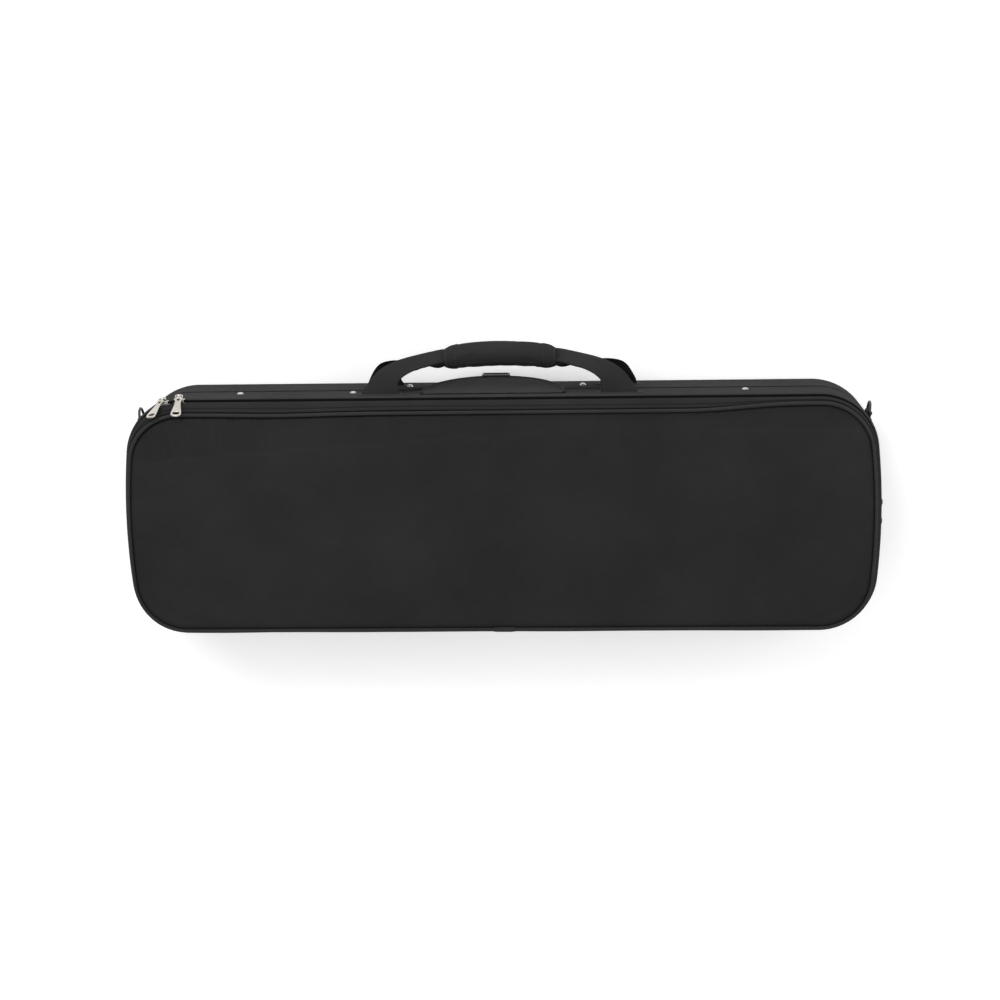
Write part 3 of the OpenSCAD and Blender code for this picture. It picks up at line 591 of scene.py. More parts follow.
def build_shell_fabric():
    hem = 1.2 * MM
    low = closed_band(
        [[FILLET + 1.2 * MM, 0.25 * MM]] + round_profile((FILLET, FILLET), FILLET, -math.pi / 2, 0, 12)
        + [[0, z] for z in np.linspace(FILLET, BASE_HEM - hem, 9)[1:]]
        + round_profile((hem / 2, BASE_HEM - hem), hem / 2, 0, math.pi, 7)[1:],
        [[FILLET + 1.2 * MM, 0.9 * MM]] + round_profile((FILLET, FILLET), FILLET - hem, -math.pi / 2, 0, 12)
        + [[hem, z] for z in np.linspace(FILLET, BASE_HEM - hem, 9)[1:-1]])
    grid_piece("base_cover", band_grid(low), "base", "cover_fabric", close_rows=True, close_cols=True,
               replaces=["base_side_cover"])

    top = LID_TOP - LID_ROUND
    high = closed_band(
        round_profile((hem / 2, LID_HEM + hem), hem / 2, -math.pi, 0, 7)[:-1]
        + [[0, z] for z in np.linspace(LID_HEM + hem, top, 7)]
        + round_profile((LID_ROUND, top), LID_ROUND, 0, math.pi / 2, 7)[1:],
        [[hem, z] for z in np.linspace(LID_HEM + hem, top, 7)[1:]]
        + round_profile((LID_ROUND, top), LID_ROUND - hem, 0, math.pi / 2, 7)[1:])
    skirt = band_grid(high)
    grid_piece("lid_cover_sides", skirt, "lid", "cover_fabric", close_rows=True, close_cols=True,
               replaces=["lid_cover"])
    flat_panel("lid_cover_top", LID_ROUND, LID_TOP, LID_TOP - hem, "lid", "cover_fabric")
    flat_panel("back_panel", FILLET + 0.6 * MM, 1.4 * MM, 0.1 * MM, "base", "cover_fabric",
               replaces=["base_back_panel"])


def panel_insets(first, step=9 * MM):
    """Insets from an edge to the middle line, close together at the edge."""
    return np.concatenate([first + np.array([0, 0.4, 1.2, 2.6, 5]) * MM,
                           np.arange(first + 10 * MM, HALF_W - 4 * MM, step), [HALF_W]])


def panel_grid(insets, heights, drop=0.0, step=5 * MM):
    """One ring of the outline for each inset and height."""
    return np.array([plan_ring(i, z, drop, step) for i, z in zip(insets, heights)])


def panel_uv(grid, faces):
    """UVs in metres straight from above."""
    flat = grid.reshape(-1, 3)
    return flat[faces.ravel()][:, :2]


def flat_panel(name, first, z_top, z_low, body, look, replaces=()):
    """A flat sheet of fabric filling the outline from an inset inwards, closed below."""
    insets = panel_insets(first)
    z0, z1 = min(z_top, z_low), max(z_top, z_low)
    upper = panel_grid(insets, np.full(len(insets), z1))
    lower = panel_grid(insets, np.full(len(insets), z0))
    grid = np.concatenate([lower[::-1], upper])
    faces, _ = grid_faces(len(grid), grid.shape[1], False, True)
    return add_piece(name, grid.reshape(-1, 3), faces, body, look, uv=panel_uv(grid, faces),
                     replaces=replaces, weld=0.02 * MM)


# ---------- Soft panels ----------


def filled(boundary, spacing):
    """Even triangles filling a convex boundary: the points, the faces and the points' edge distances."""
    n = len(boundary)
    lo, hi = boundary.min(0), boundary.max(0)
    rows = np.arange(lo[1], hi[1], spacing * math.sqrt(3) / 2)
    inner = np.array([(x + (k % 2) * spacing / 2, y) for k, y in enumerate(rows)
                      for x in np.arange(lo[0], hi[0], spacing)])
    a, b = boundary, np.roll(boundary, -1, 0)
    ab = b - a
    ccw = 1 if np.sum(a[:, 0] * b[:, 1] - b[:, 0] * a[:, 1]) > 0 else -1
    left = ccw * (ab[None, :, 0] * (inner[:, None, 1] - a[None, :, 1])
                  - ab[None, :, 1] * (inner[:, None, 0] - a[None, :, 0])) / np.linalg.norm(ab, axis=1)
    inner = inner[left.min(1) > spacing * 0.45]
    points = [Vector(p) for p in np.concatenate([boundary, inner])]
    verts, _, faces, *_ = delaunay_2d_cdt(points, [(k, (k + 1) % n) for k in range(n)], [], 1, 1e-7)
    verts = np.array([(v.x, v.y) for v in verts])
    left = ccw * (ab[None, :, 0] * (verts[:, None, 1] - a[None, :, 1])
                  - ab[None, :, 1] * (verts[:, None, 0] - a[None, :, 0])) / np.linalg.norm(ab, axis=1)
    return verts, [list(f) for f in faces], np.clip(left.min(1), 0, None)


def pad_mesh(boundary, spacing, top, low):
    """A closed pad: top and low are functions of (points, edge distance) giving heights. UVs lie flat."""
    flat, faces, edge = filled(boundary, spacing)
    n = len(flat)
    rim = len(boundary)
    upper = np.c_[flat, top(flat, edge)]
    lower = np.c_[flat, low(flat, edge)]
    verts = np.concatenate([upper, lower])
    all_faces = faces + [[k + n for k in f[::-1]] for f in faces]
    all_faces += [[k, (k + 1) % rim, (k + 1) % rim + n, k + n] for k in range(rim)]
    uv = np.concatenate([verts[f][:, :2] for f in all_faces])
    return verts, all_faces, uv, n, edge


def cloth_puff(ob, free, pressure=4.0, frames=20, cap=3 * MM, shrink=0.0, stiffness=15.0, bend=0.5):
    """Lets the mesh settle as cloth under air pressure where free is above 0, moving at most cap."""
    scene = bpy.context.scene
    pins = ob.vertex_groups.new(name="pins")
    for k, f in enumerate(free):
        pins.add([k], float(1 - f), "REPLACE")
    mod = ob.modifiers.new("cloth", "CLOTH")
    s = mod.settings
    s.quality, s.mass, s.air_damping = 6, 0.25, 2.0
    s.tension_stiffness = s.compression_stiffness = stiffness
    s.shear_stiffness, s.bending_stiffness = stiffness / 3, bend
    s.use_pressure, s.uniform_pressure_force = True, pressure
    s.vertex_group_mass = "pins"
    s.pin_stiffness = 4.0
    s.shrink_min = shrink
    s.effector_weights.gravity = 0
    mod.collision_settings.use_collision = False
    mod.point_cache.frame_start, mod.point_cache.frame_end = 1, frames
    rest = np.array([v.co for v in ob.data.vertices])
    for f in range(1, frames + 1):
        scene.frame_set(f)
    done = ob.evaluated_get(bpy.context.evaluated_depsgraph_get()).to_mesh()
    shift = np.array([v.co for v in done.vertices]) - rest
    ob.modifiers.remove(mod)
    ob.vertex_groups.remove(pins)
    scene.frame_set(1)
    size = np.linalg.norm(shift, axis=1)[:, None] + 1e-9
    shift = shift / size * cap * np.tanh(size / cap)
    ob.data.vertices.foreach_set("co", (rest + shift).ravel())
    ob.data.update()


def subdivided(ob, levels=1):
    mod = ob.modifiers.new("smooth", "SUBSURF")
    mod.levels = mod.render_levels = levels
    mod.uv_smooth, mod.use_limit_surface = "NONE", False
    return ob


PANEL_EDGE = 10.2 * MM
PANEL_EDGE_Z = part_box("pocket_panel")[0].z + 0.9 * MM
PANEL_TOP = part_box("pocket_panel")[1].z


def build_pocket():
    # Gusset: thick fabric band curving in from the zip to the piping
    z0 = GUSSET_Z
    outer = catmull(np.array([[3.9, 0.2, 0], [3.5, 1.3, 0.02], [3.3, 3.3, 0.1], [4.3, 6.0, 0.3],
                              [5.1, 7.7, 0.45],
                              [5.7, 7.5, 0.54], [5.9, 8.6, 0.6], [6.5, 10.3, 0.74], [6.8, 10.3, 0.82],
                              [7.1, 8.9, 0.9], [8.2, 8.3, 0.97]]), 3)
    t = tangents(outer[:, :2], False)
    inner = outer.copy()
    inner[:, :2] += np.c_[t[:, 1], -t[:, 0]] * 1.6
    lip = [[3.9, -0.15, 0], [4.5, -0.25, 0], [5.2, -0.05, 0]]
    band = np.concatenate([outer, inner[::-1], lip[::-1]]) * [MM, MM, 1] + [0, z0, 0]
    grid = band_grid(band)
    normal = outline()[1]
    fold = ripple(np.c_[outline()[0], np.zeros(len(normal))], 0.11, 5) * 0.45 * MM
    lift = np.sin(np.clip((band[:, 1] - z0) / (12 * MM), 0, 1) * math.pi)
    grid[..., :2] += normal[None] * (fold[None, :, None] * lift[:, None, None])
    grid_piece("gusset", grid, "pocket", "panel_fabric", close_rows=True, close_cols=True,
               replaces=["pocket_gusset"])

    # Piping round the panel, with its sewn-down lip and the lap where its ends meet
    path = plan_ring(PIPING_INSET, PIPING_Z, 1.0, 3 * MM)
    r = PIPING_R * 0.86 * (1 + 0.035 * ripple(path, 0.012, 8) + 0.02 * ripple(path, 0.05, 9))
    tube_piece("panel_piping", path, r, "pocket", "piping", 14, closed=True, replaces=["pocket_piping"])
    at = int(np.argmin(np.hypot(path[:, 0] - 0.004, path[:, 1] + HALF_W)))
    lap = path[at - 4:at + 5]
    tube_piece("piping_join", lap, np.array([2.05, 2.4, 2.5, 2.5, 2.5, 2.5, 2.5, 2.4, 2.05]) * MM, "pocket",
               "piping", 14)
    # The sewn-down lip is a real seam allowance, but its near-black colour is painted shade for the groove
    # beside the piping.
    lip = band_grid([[PIPING_INSET - 1.6 * MM, PIPING_Z - 3.3 * MM, 0.97],
                     [PIPING_INSET, PIPING_Z - 1.5 * MM, 1.0],
                     [PIPING_INSET + 2.6 * MM, PIPING_Z - 1.5 * MM, 1.0],
                     [PIPING_INSET + 2.6 * MM, PIPING_Z - 2.6 * MM, 1.0],
                     [PIPING_INSET - 1.6 * MM, PIPING_Z - 4.0 * MM, 0.97]])
    grid_piece("piping_lip", lip, "pocket", "webbing_painted_shade", close_rows=True, close_cols=True)

    # Padded panel inside the piping
    edge = plan_ring(PANEL_EDGE, 0, 1.0, 3.4 * MM)[:, :2]
    rise = PANEL_TOP - PANEL_EDGE_Z

    def top(p, d):
        swell = 1 - (1 - np.clip(d / (46 * MM), 0, 1)) ** 2
        lip = np.clip(d / (4 * MM), 0, 1)
        flat3 = np.c_[p, np.zeros(len(p))]
        return (PANEL_EDGE_Z + rise * (0.62 * swell + 0.3 * np.sqrt(1 - (1 - lip) ** 2))
                + np.clip(d / (25 * MM), 0, 1)
                * (ripple(flat3, 0.21, 3) * 0.7 + ripple(flat3, 0.09, 4) * 0.22) * MM)

    verts, faces, uv, n, d = pad_mesh(edge, 5.2 * MM, top,
                                      lambda p, e: np.full(len(p), PANEL_EDGE_Z - 2.0 * MM))
    panel = add_piece("padded_panel", verts, faces, "pocket", "panel_fabric", ["pocket_panel"], uv)
    free = np.concatenate([smoothstep(d / (9 * MM)), np.zeros(n)])
    cloth_puff(panel, free, pressure=0.9, cap=2.2 * MM, shrink=-0.0025, bend=2.0)
    subdivided(panel)


def catmull(points, per):
    """A smooth path through rows of numbers, with per steps between each two."""
    p = np.concatenate([[2 * points[0] - points[1]], points, [2 * points[-1] - points[-2]]])
    out = []
    for k in range(1, len(p) - 2):
        for t in np.arange(per) / per:
            out.append(0.5 * (2 * p[k] + (p[k + 1] - p[k - 1]) * t
                              + (2 * p[k - 1] - 5 * p[k] + 4 * p[k + 1] - p[k + 2]) * t * t
                              + (3 * p[k] - p[k - 1] - 3 * p[k + 1] + p[k + 2]) * t ** 3))
    out.append(points[-1])
    return np.array(out)


# ---------- Zips ----------

MAIN_TAPE_INSET, POCKET_TAPE_INSET = 1.5 * MM, 5 * MM
MAIN_STOP, POCKET_STOP = -HALF_W + 0.1 * MM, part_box("pocket_tape_upper")[0].y


def open_ring(inset, z, stop_y, step=5 * MM, drop=0.0):
    """The outline from its spine side at one end round the handle side to the other."""
    ring = plan_ring(inset, z, drop, step)
    keep = outline(step)[0][:, 1] > stop_y
    start = next(k for k in range(len(ring)) if keep[k] and not keep[k - 1])
    ring = np.roll(ring, -start, 0)
    return ring[:int(keep.sum())]


def tape(name, inset, z0, z1, stop, body, node):
    """A thin zip tape standing along the outline from z0 to z1."""
    t = 0.45 * MM
    i0 = inset + 0.25 * MM
    profile = [(i0, z0), (i0, z1), (i0 + t, z1), (i0 + t, z0)]
    grid = np.array([open_ring(i, z, stop) for i, z in dense(np.array(profile), 1.6 * MM)])
    grid_piece(name, grid, body, "zip_tape", close_rows=True, caps=True, replaces=[node])


def coil(name, inset, z, side, stop, body, pitch=1.6 * MM, reach=2.3 * MM):
    """One half of a coil zip: nylon loops along the tape's edge, side +1 above the line and -1 below."""
    path = open_ring(inset, z, stop + 1 * MM, 2 * MM)
    s = run_length(path)
    at = np.arange(0.5 if side > 0 else 0.0, s[-1] / pitch - 1) * pitch + pitch
    p = np.stack([np.interp(at, s, path[:, k]) for k in range(3)], 1)
    q = np.stack([np.interp(at + 0.2 * MM, s, path[:, k]) for k in range(3)], 1)
    along = q - p
    along /= np.linalg.norm(along, axis=1)[:, None]
    out = np.stack([along[:, 1], -along[:, 0], np.zeros(len(p))], 1)
    r = 0.34 * MM
    # across the tape, then out of it: from the tape up and over to the loop's nose past the line
    line = np.array([[reach, 0.0], [reach * 0.7, 0.5 * MM], [0.1 * MM, 0.65 * MM], [-0.55 * MM, 0.4 * MM]])
    widths = np.array([0.8, 1.0, 1.0, 1.25]) * r
    ang = 2 * math.pi * np.arange(6) / 6
    dirs = tangents(line, False)
    verts = np.zeros((len(p), len(line), 6, 3))
    for k, (zz, oo) in enumerate(line):
        centre = p + out * oo + np.array([0, 0, side * zz])
        lift = -dirs[k][1] * side
        over = out * dirs[k][0] + np.array([0, 0, 1.0]) * lift
        verts[:, k] = (centre[:, None] + (along[:, None] * np.cos(ang)[None, :, None]
                                          + over[:, None] * np.sin(ang)[None, :, None]) * widths[k])
    quads, _ = grid_faces(len(line), 6, False, True)
    block = quads.tolist() + [list(range(6))[::-1], [18 + k for k in range(6)]]
    faces = [[f + k * 24 for f in face] for k in range(len(p)) for face in block]
    add_piece(name, verts.reshape(-1, 3), faces, body, "coil")


def build_zips():
    rest = RIM_GAP
    tape("main_tape_base", MAIN_TAPE_INSET, BASE_HEM - 5 * MM, SEAM_Z - rest, MAIN_STOP, "base",
         "base_zip_tape")
    tape("main_tape_lid", MAIN_TAPE_INSET, SEAM_Z + rest, LID_HEM + 5 * MM, MAIN_STOP, "lid", "lid_zip_tape")
    coil("main_coil_base", MAIN_TAPE_INSET, SEAM_Z, -1, MAIN_STOP, "base")
    coil("main_coil_lid", MAIN_TAPE_INSET, SEAM_Z, 1, MAIN_STOP, "lid")
    tape("pocket_tape_lid", POCKET_TAPE_INSET, LID_TOP + 0.02 * MM, POCKET_ZIP_Z - 0.1 * MM, POCKET_STOP,
         "lid",
         "pocket_tape_lower")
    tape("pocket_tape_flap", POCKET_TAPE_INSET, POCKET_ZIP_Z + 0.1 * MM, GUSSET_Z + 1.2 * MM, POCKET_STOP,
         "pocket",
         "pocket_tape_upper")
    # Black zip tape laid over the lid's rounded top edge beside the pocket zip: partly the real tape, partly
    # painted shade for the dark groove under the gusset.
    r, top = LID_ROUND, LID_TOP - LID_ROUND
    bend = np.array([[r - (r + 0.3 * MM) * math.cos(a), top + (r + 0.3 * MM) * math.sin(a)]
                     for a in np.linspace(0.92, 1.56, 8)])
    under = np.array([[r - (r - 0.3 * MM) * math.cos(a), top + (r - 0.3 * MM) * math.sin(a)]
                      for a in np.linspace(1.56, 0.92, 8)])
    grid_piece("pocket_zip_tape_and_painted_shade", np.array([open_ring(i, z, POCKET_STOP) for i,
                                              z in np.concatenate([bend, under])]),
               "lid", "zip_tape", close_rows=True, caps=True)
    coil("pocket_coil_lid", POCKET_TAPE_INSET, POCKET_ZIP_Z, -1, POCKET_STOP, "lid", reach=1.9 * MM)
    coil("pocket_coil_flap", POCKET_TAPE_INSET, POCKET_ZIP_Z, 1, POCKET_STOP, "pocket", reach=1.9 * MM)


# Sliders and pulls, in the CAD's own slider frame: x along the zip, z out of the wall
SLIDER_L, PULL_L, PULL_W, PULL_T, BARREL_L, BAR_R = 12 * MM, 31 * MM, 11 * MM, 1.6 * MM, 5 * MM, 0.8 * MM


def slider_body(width, height):
    """A zip slider's body: two shield-shaped plates on a core, with rolled edges."""
    half, nose = SLIDER_L / 2, width * 0.26
    shield = rounded([(-half, -nose, 1.2 * MM), (-half * 0.2, -width / 2, 2 * MM),
                      (half * 0.75, -width / 2, 1.6 * MM),
                      (half, -nose * 1.2, 1 * MM), (half, nose * 1.2, 1 * MM),
                      (half * 0.75, width / 2, 1.6 * MM),
                      (-half * 0.2, width / 2, 2 * MM), (-half, nose, 1.2 * MM)])
    t = 0.95 * MM
    top, faces = plate_mesh([shield], t, 0.35 * MM)
    lips = plate_mesh([rounded([(-half * 0.5, -0.9 * MM, 0.5 * MM), (half * 0.75, -0.9 * MM, 0.5 * MM),
                                (half * 0.75, 0.9 * MM, 0.5 * MM), (-half * 0.5, 0.9 * MM, 0.5 * MM)])],
                      height - 1.0 * MM, 0.2 * MM)
    parts = [(top + [0, 0, height - t / 2], faces), (top + [0, 0, t / 2], faces),
             (lips[0] + [0, 0, height / 2], lips[1])]
    for s in (-1, 1):       # rolled side flanges of the upper plate
        rail = np.array([[-half * 0.1, s * (width / 2 - 0.35 * MM), height - 0.9 * MM],
                         [half * 0.7, s * (width / 2 - 0.35 * MM), height - 0.9 * MM]])
        rail = dense(rail, 1.2 * MM, False)
        parts.append(solid_tube(rail, 0.42 * MM, 8))
    return parts


def solid_tube(path, radius, sides=10):
    """A capped tube along an open path."""
    grid = tube_grid(path, radius, sides, up=(0.02, 0.03, 1) if abs(tangents(path, False)[0][2]) < 0.9
                     else (1, 0, 0))
    faces, _ = grid_faces(len(path), sides, False, True)
    faces = faces.tolist() + [list(range(sides))[::-1], [(len(path) - 1) * sides + k for k in range(sides)]]
    return grid.reshape(-1, 3), faces


def slider_parts(width, height, bar_up):
    """A slider with two ears and the bar that its pull hangs on."""
    parts = slider_body(width, height)
    for s in (-1, 1):
        x = s * (BARREL_L / 2 + 0.9 * MM)
        ear = rounded([(-1.4 * MM, -0.6 * MM, 0), (1.4 * MM, -0.6 * MM, 0), (1.4 * MM, bar_up, 1.3 * MM),
                       (0, bar_up + 1.5 * MM, 1.2 * MM), (-1.4 * MM, bar_up, 1.3 * MM)])
        v, f = plate_mesh([ear], 1.2 * MM, 0.25 * MM)
        turn = Matrix.Translation((x, 0, height)) @ Matrix(((0, 0, 1, 0), (1, 0, 0, 0), (0, 1, 0, 0),
                                                            (0, 0, 0, 1)))
        parts.append((placed(v, turn), f))
    reach = BARREL_L / 2 + 1.2 * MM
    parts.append(solid_tube(dense(np.array([[-reach, 0, height + bar_up], [reach, 0, height + bar_up]]),
                                  2 * MM, False),
                            BAR_R, 14))
    return parts


def pull_half(u):
    """A pull's half width, as a share of PULL_W / 2, at u along its length."""
    if u < 0.3:
        return 0.85 - 0.28 * math.sin(u / 0.3 * math.pi / 2) ** 2
    if u < 0.9:
        return 0.57 + 0.43 * math.sin((u - 0.3) / 0.6 * math.pi / 2) ** 2
    return math.sqrt(max(0.004, 1 - ((u - 0.9) / 0.1) ** 2))


def pull_parts(swivel=0.0):
    """A cast pull on its barrel, hanging along +y: wide head, waist and an eye with an oval slot."""
    y0 = 1.2 * MM
    side = [(pull_half(u) * PULL_W / 2, y0 + (PULL_L - y0) * u) for u in
            np.concatenate([np.linspace(0, 0.9, 25),
                            0.9 + 0.1 * np.sin(np.linspace(0.1, 1, 10) * math.pi / 2)])]
    shape = rounded([(x, y, 0) for x, y in side] + [(-x, y, 0) for x, y in side[::-1]])
    notch = 2.9 * MM         # clear of the ears beside the barrel
    shape = np.array([[np.sign(x) * min(abs(x), 2.35 * MM) if y < notch else x, y] for x, y in shape])
    eye_y = PULL_L - 4.6 * MM
    eye = [(1.5 * MM + 1.9 * MM * math.cos(a), eye_y + 1.9 * MM * math.sin(a))
           for a in np.linspace(-math.pi / 2, math.pi / 2, 12)]
    eye += [(-x, 2 * eye_y - y) for x, y in eye]
    hole = [(1.5 * MM * math.cos(a), 6.2 * MM + 1.5 * MM * math.sin(a)) for a in np.arange(20) * math.pi / 10]
    v, f = plate_mesh([shape, np.array(eye), np.array(hole)], PULL_T, 0.55 * MM, 4)
    parts = [(placed(v, Matrix.Rotation(math.radians(swivel), 4, "Z")), f)]
    outer, inner, h = 1.75 * MM, BAR_R + 0.12 * MM, BARREL_L / 2
    profile = [(inner, -h), (outer - 0.3 * MM, -h), (outer, -h + 0.3 * MM), (outer, h - 0.3 * MM),
               (outer - 0.3 * MM, h),
               (inner, h)]
    a = 2 * math.pi * np.arange(28) / 28
    grid = np.stack([np.c_[np.full(28, x), r * np.cos(a), r * np.sin(a)] for r, x in profile])
    faces, _ = grid_faces(len(profile), 28, True, True)
    parts.append((grid.reshape(-1, 3), faces.tolist()))
    return parts


def pocket_zip_place(x):
    """The slider frame on the pocket's zip, on the handle side or round the left corner."""
    turn = Matrix.Rotation(-math.pi / 2, 4, "X")
    out = -4.8 * MM
    if x < -CORNER_X - 3 * MM:
        angle = math.asin((-CORNER_X - x) / CORNER_R)
        return (Matrix.Translation((-CORNER_X, CORNER_Y, POCKET_ZIP_Z)) @ Matrix.Rotation(angle, 4, "Z")
                @ Matrix.Translation((0, CORNER_R + out, 0)) @ turn)
    return Matrix.Translation((x, HALF_W + out, POCKET_ZIP_Z)) @ turn


def main_zip_place(y):
    """The slider frame on the main zip, on the right end."""
    return (Matrix.Translation((END_X, 0, SEAM_Z)) @ Matrix.Rotation(math.asin(y / END_R), 4, "Z")
            @ Matrix.Translation((END_R - 0.5 * MM, 0, 0)) @ Matrix.Rotation(math.pi / 2, 4, "Y")
            @ Matrix.Rotation(math.pi / 2, 4, "Z"))


def build_sliders():
    for side, x, lift, swivel in (("left", -349 * MM, 64, 25), ("right", -332 * MM, 55, 0)):
        place = pocket_zip_place(x)
        v, f = merged(slider_parts(5.2 * MM, 4.6 * MM, 3.2 * MM))
        add_piece(f"{side}_slider", placed(v, place), f, f"pocket_slider_{side}", "nickel",
                  [f"pocket_slider_{side}"])
        hang = place @ Matrix.Translation((0, 0, 7.8 * MM)) @ Matrix.Rotation(math.radians(270 - lift), 4,
                                                                              "X")
        v, f = merged(pull_parts(swivel))
        add_piece(f"{side}_pull", placed(v, hang), f, f"pocket_pull_{side}", "nickel",
                  [f"pocket_pull_{side}"])
    for side, y in (("upper", 2 * MM), ("lower", -18 * MM)):
        place = main_zip_place(y)
        v, f = merged(slider_parts(7.6 * MM, 2.4 * MM, 2.3 * MM))
        add_piece(f"{side}_slider", placed(v, place), f, f"main_slider_{side}", "black_metal",
                  [f"main_slider_{side}"])
        hang = place @ Matrix.Translation((0, 0, 4.7 * MM)) @ Matrix.Rotation(math.pi, 4, "X")
        v, f = merged(pull_parts())
        add_piece(f"{side}_pull", placed(v, hang), f, f"main_pull_{side}", "black_metal",
                  [f"main_pull_{side}"])


# ---------- Handle ----------

GRIP_L, GRIP_H, GRIP_D = 114 * MM, 25 * MM, 34 * MM
GRIP_Z, GRIP_Y = 72 * MM, 161 * MM
STRAP_T = 1.9 * MM


def arch_y(x):
    return GRIP_Y + 3 * MM - 4 * MM * (2 * x / GRIP_L) ** 2


def strap_stations(side, per=6):
    """Centre, turn, twist and width along a strap: side is 1 for the front strap and -1 for the rear."""
    lift = side * 2.1
    end = arch_y(-GRIP_L / 2) / MM
    wall = HALF_W / MM
    twist = [16, 42, 58, 63, 65, 66, 72, 82] if side > 0 else [12, 34, 60, 90, 108, 113, 107, 98]
    out = 0 if side > 0 else 2
    rows = [(-124, wall - 0.6, 33, 0, 0, 38), (-124, wall + 3, 32.6, 0, 0, 38),
            (-122 - out, wall + 9, 31, 3, 4, 33),
            (-116.5 - out, wall + 18 + out, 28, 16, twist[0], 27),
            (-106 - out, end - 11 + lift + out, 23, 40, twist[1], 25),
            (-92, end - 7 + 1.5 * lift, 17, 62, twist[2], 25),
            (-76, end - 4 + 1.6 * lift, 9, 76, twist[3], 26),
            (-66, end - 2 + 1.6 * lift, 4, 80, twist[4], 26), (-58.5, end + lift, 0, 84, twist[5], 26)]
    rows += [(x, arch_y(x * MM) / MM + lift, 0, 84 + 6 * (x + 57) / 57, t, 26) for x, t in
             ((-50, twist[6]), (-42, twist[7]), (-28.5, 90), (-14, 90), (0, 90))]
    half = catmull(np.array(rows, float), per)
    half[:, :3] *= MM
    half[:, 5] *= MM
    far = half[-2::-1].copy()
    far[:, 0] *= -1
    far[:, 3] = 180 - far[:, 3]
    return np.concatenate([half, far])


def strap_frames(side):
    """A strap's centre line, its unit vectors across and through the band, and its widths."""
    st = strap_stations(side)
    turn, twist = np.radians(st[:, 3]), np.radians(st[:, 4])
    across = np.c_[np.cos(turn), -np.sin(turn), np.zeros(len(st))]
    z = np.array([0, 0, 1.0])
    wide = across * np.cos(twist)[:, None] + z * np.sin(twist)[:, None]
    thick = z * np.cos(twist)[:, None] - across * np.sin(twist)[:, None]
    flip = np.array([1, 1, side])
    centre = st[:, :3] * flip + [0, 0, GRIP_Z]
    return centre, wide * flip, thick * flip * side, st[:, 5]


def flat_section(width, thick, n=9):
    """Round a flat band's section: pairs across and through it, with soft edges."""
    r = thick * 0.48
    line = np.linspace(-width / 2 + r, width / 2 - r, n)
    turn = np.linspace(-math.pi / 2, math.pi / 2, 6)[1:-1]
    cup = 0.05 * thick * (1 - (2 * line / width) ** 2)
    return np.concatenate([np.c_[line, np.full(n, -thick / 2)],
                           np.c_[width / 2 - r + r * np.cos(turn), r * np.sin(turn) * thick / 2 / r],
                           np.c_[line[::-1], thick / 2 + cup],
                           np.c_[-width / 2 + r - r * np.cos(turn), -r * np.sin(turn) * thick / 2 / r]])


def band_piece(name, centre, wide, thick, width, depth, body, look, **more):
    """A soft-edged band along stations. Rows go round its section and columns along it."""
    sections = np.array([flat_section(w, depth) for w in np.broadcast_to(width, len(centre))])
    grid = (centre[None] + sections[:, :, 0].T[:, :, None] * wide[None]
            + sections[:, :, 1].T[:, :, None] * thick[None])
    return grid_piece(name, grid, body, look, close_rows=True, caps=True, **more)


def build_handle():
    for side, body, node in ((1, "lid", "front_strap"), (-1, "base", "rear_strap")):
        name = node.split("_")[0]
        centre, wide, thick, width = strap_frames(side)
        # The rear strap takes the near-black copy of the webbing: painted shade of the handle's shadow.
        look = "webbing" if side > 0 else "webbing_painted_shade"
        band_piece(f"{name}_webbing", centre, wide, thick, width, STRAP_T, body, look, replaces=[node])
        rows = []
        clear = [k for k in range(len(centre)) if abs(centre[k][0]) > 56 * MM
                 and centre[k][1] > HALF_W + 1.5 * MM]
        for group in (clear[:len(clear) // 2], clear[len(clear) // 2:]):
            for e in (-1, 1):
                for face in (-1, 1):
                    at = centre[group] + wide[group] * (width[group] / 2 - 3.2 * MM)[:, None] * e
                    rows.append((at + thick[group] * face * STRAP_T / 2, thick[group] * face))
        stitches(f"{name}_strap_stitches", rows, body)

        # Folded reinforcement where each end enters the wall, with a dense bar tack across it
        parts, tacks = [], []
        for k in (0, len(centre) - 1):
            end = centre[k] * [1, 0, 1] + [0, HALF_W, 0]
            shape = rounded([(-23.5 * MM, -5.2 * MM, 2 * MM), (23.5 * MM, -5.2 * MM, 2 * MM),
                             (23.5 * MM, 5.2 * MM, 2 * MM), (-23.5 * MM, 5.2 * MM, 2 * MM)])
            v, f = plate_mesh([shape], 1.3 * MM, 0.5 * MM)
            parts.append((placed(v, Matrix.Translation(Vector(end) + Vector((0, 0.35 * MM, 0)))
                                 @ Matrix.Rotation(math.pi / 2, 4, "X")), f))
            for dz in (-3.6, 3.6):
                line = dense(np.array([end + [-21 * MM, 1.0 * MM, dz * MM],
                                       end + [21 * MM, 1.0 * MM, dz * MM]]), 3 * MM, False)
                tacks.append((line, np.tile([0, 1.0, 0], (len(line), 1))))
        v, f = merged(parts)
        add_piece(f"{name}_strap_collars", v, f, body, "binding")
        stitches(f"{name}_collar_stitches", tacks, body, length=1.8 * MM, space=0.7 * MM)

    build_grip()


def grip_section(scale=1.0, wall=1.0):
    """The wrap's section in (y, z): a fat oval with a slot open to the back, whose walls scale with wall."""
    high, low, slot = 4.6 * MM, 8 * MM, 14 * MM
    a, b = GRIP_H / 2, GRIP_D / 2
    a0 = math.atan2(-math.sqrt(1 - (high / a) ** 2), high / a)
    a1 = math.atan2(-math.sqrt(1 - (low / a) ** 2), -low / a) + 2 * math.pi
    t = np.linspace(a0, a1, 64)
    outer = np.c_[a * np.cos(t), b * np.sin(t)] * scale
    r = 1.4 * MM
    corner = rounded([(*outer[-1], 0), (-low * wall, outer[-1][1], r), (-low * wall, slot * wall, 1.2 * MM),
                      (high * wall, slot * wall, 1.2 * MM), (high * wall, outer[0][1], r), (*outer[0], 0)],
                     closed=False)
    return np.concatenate([outer, resampled(corner, 52)[1:-1]])


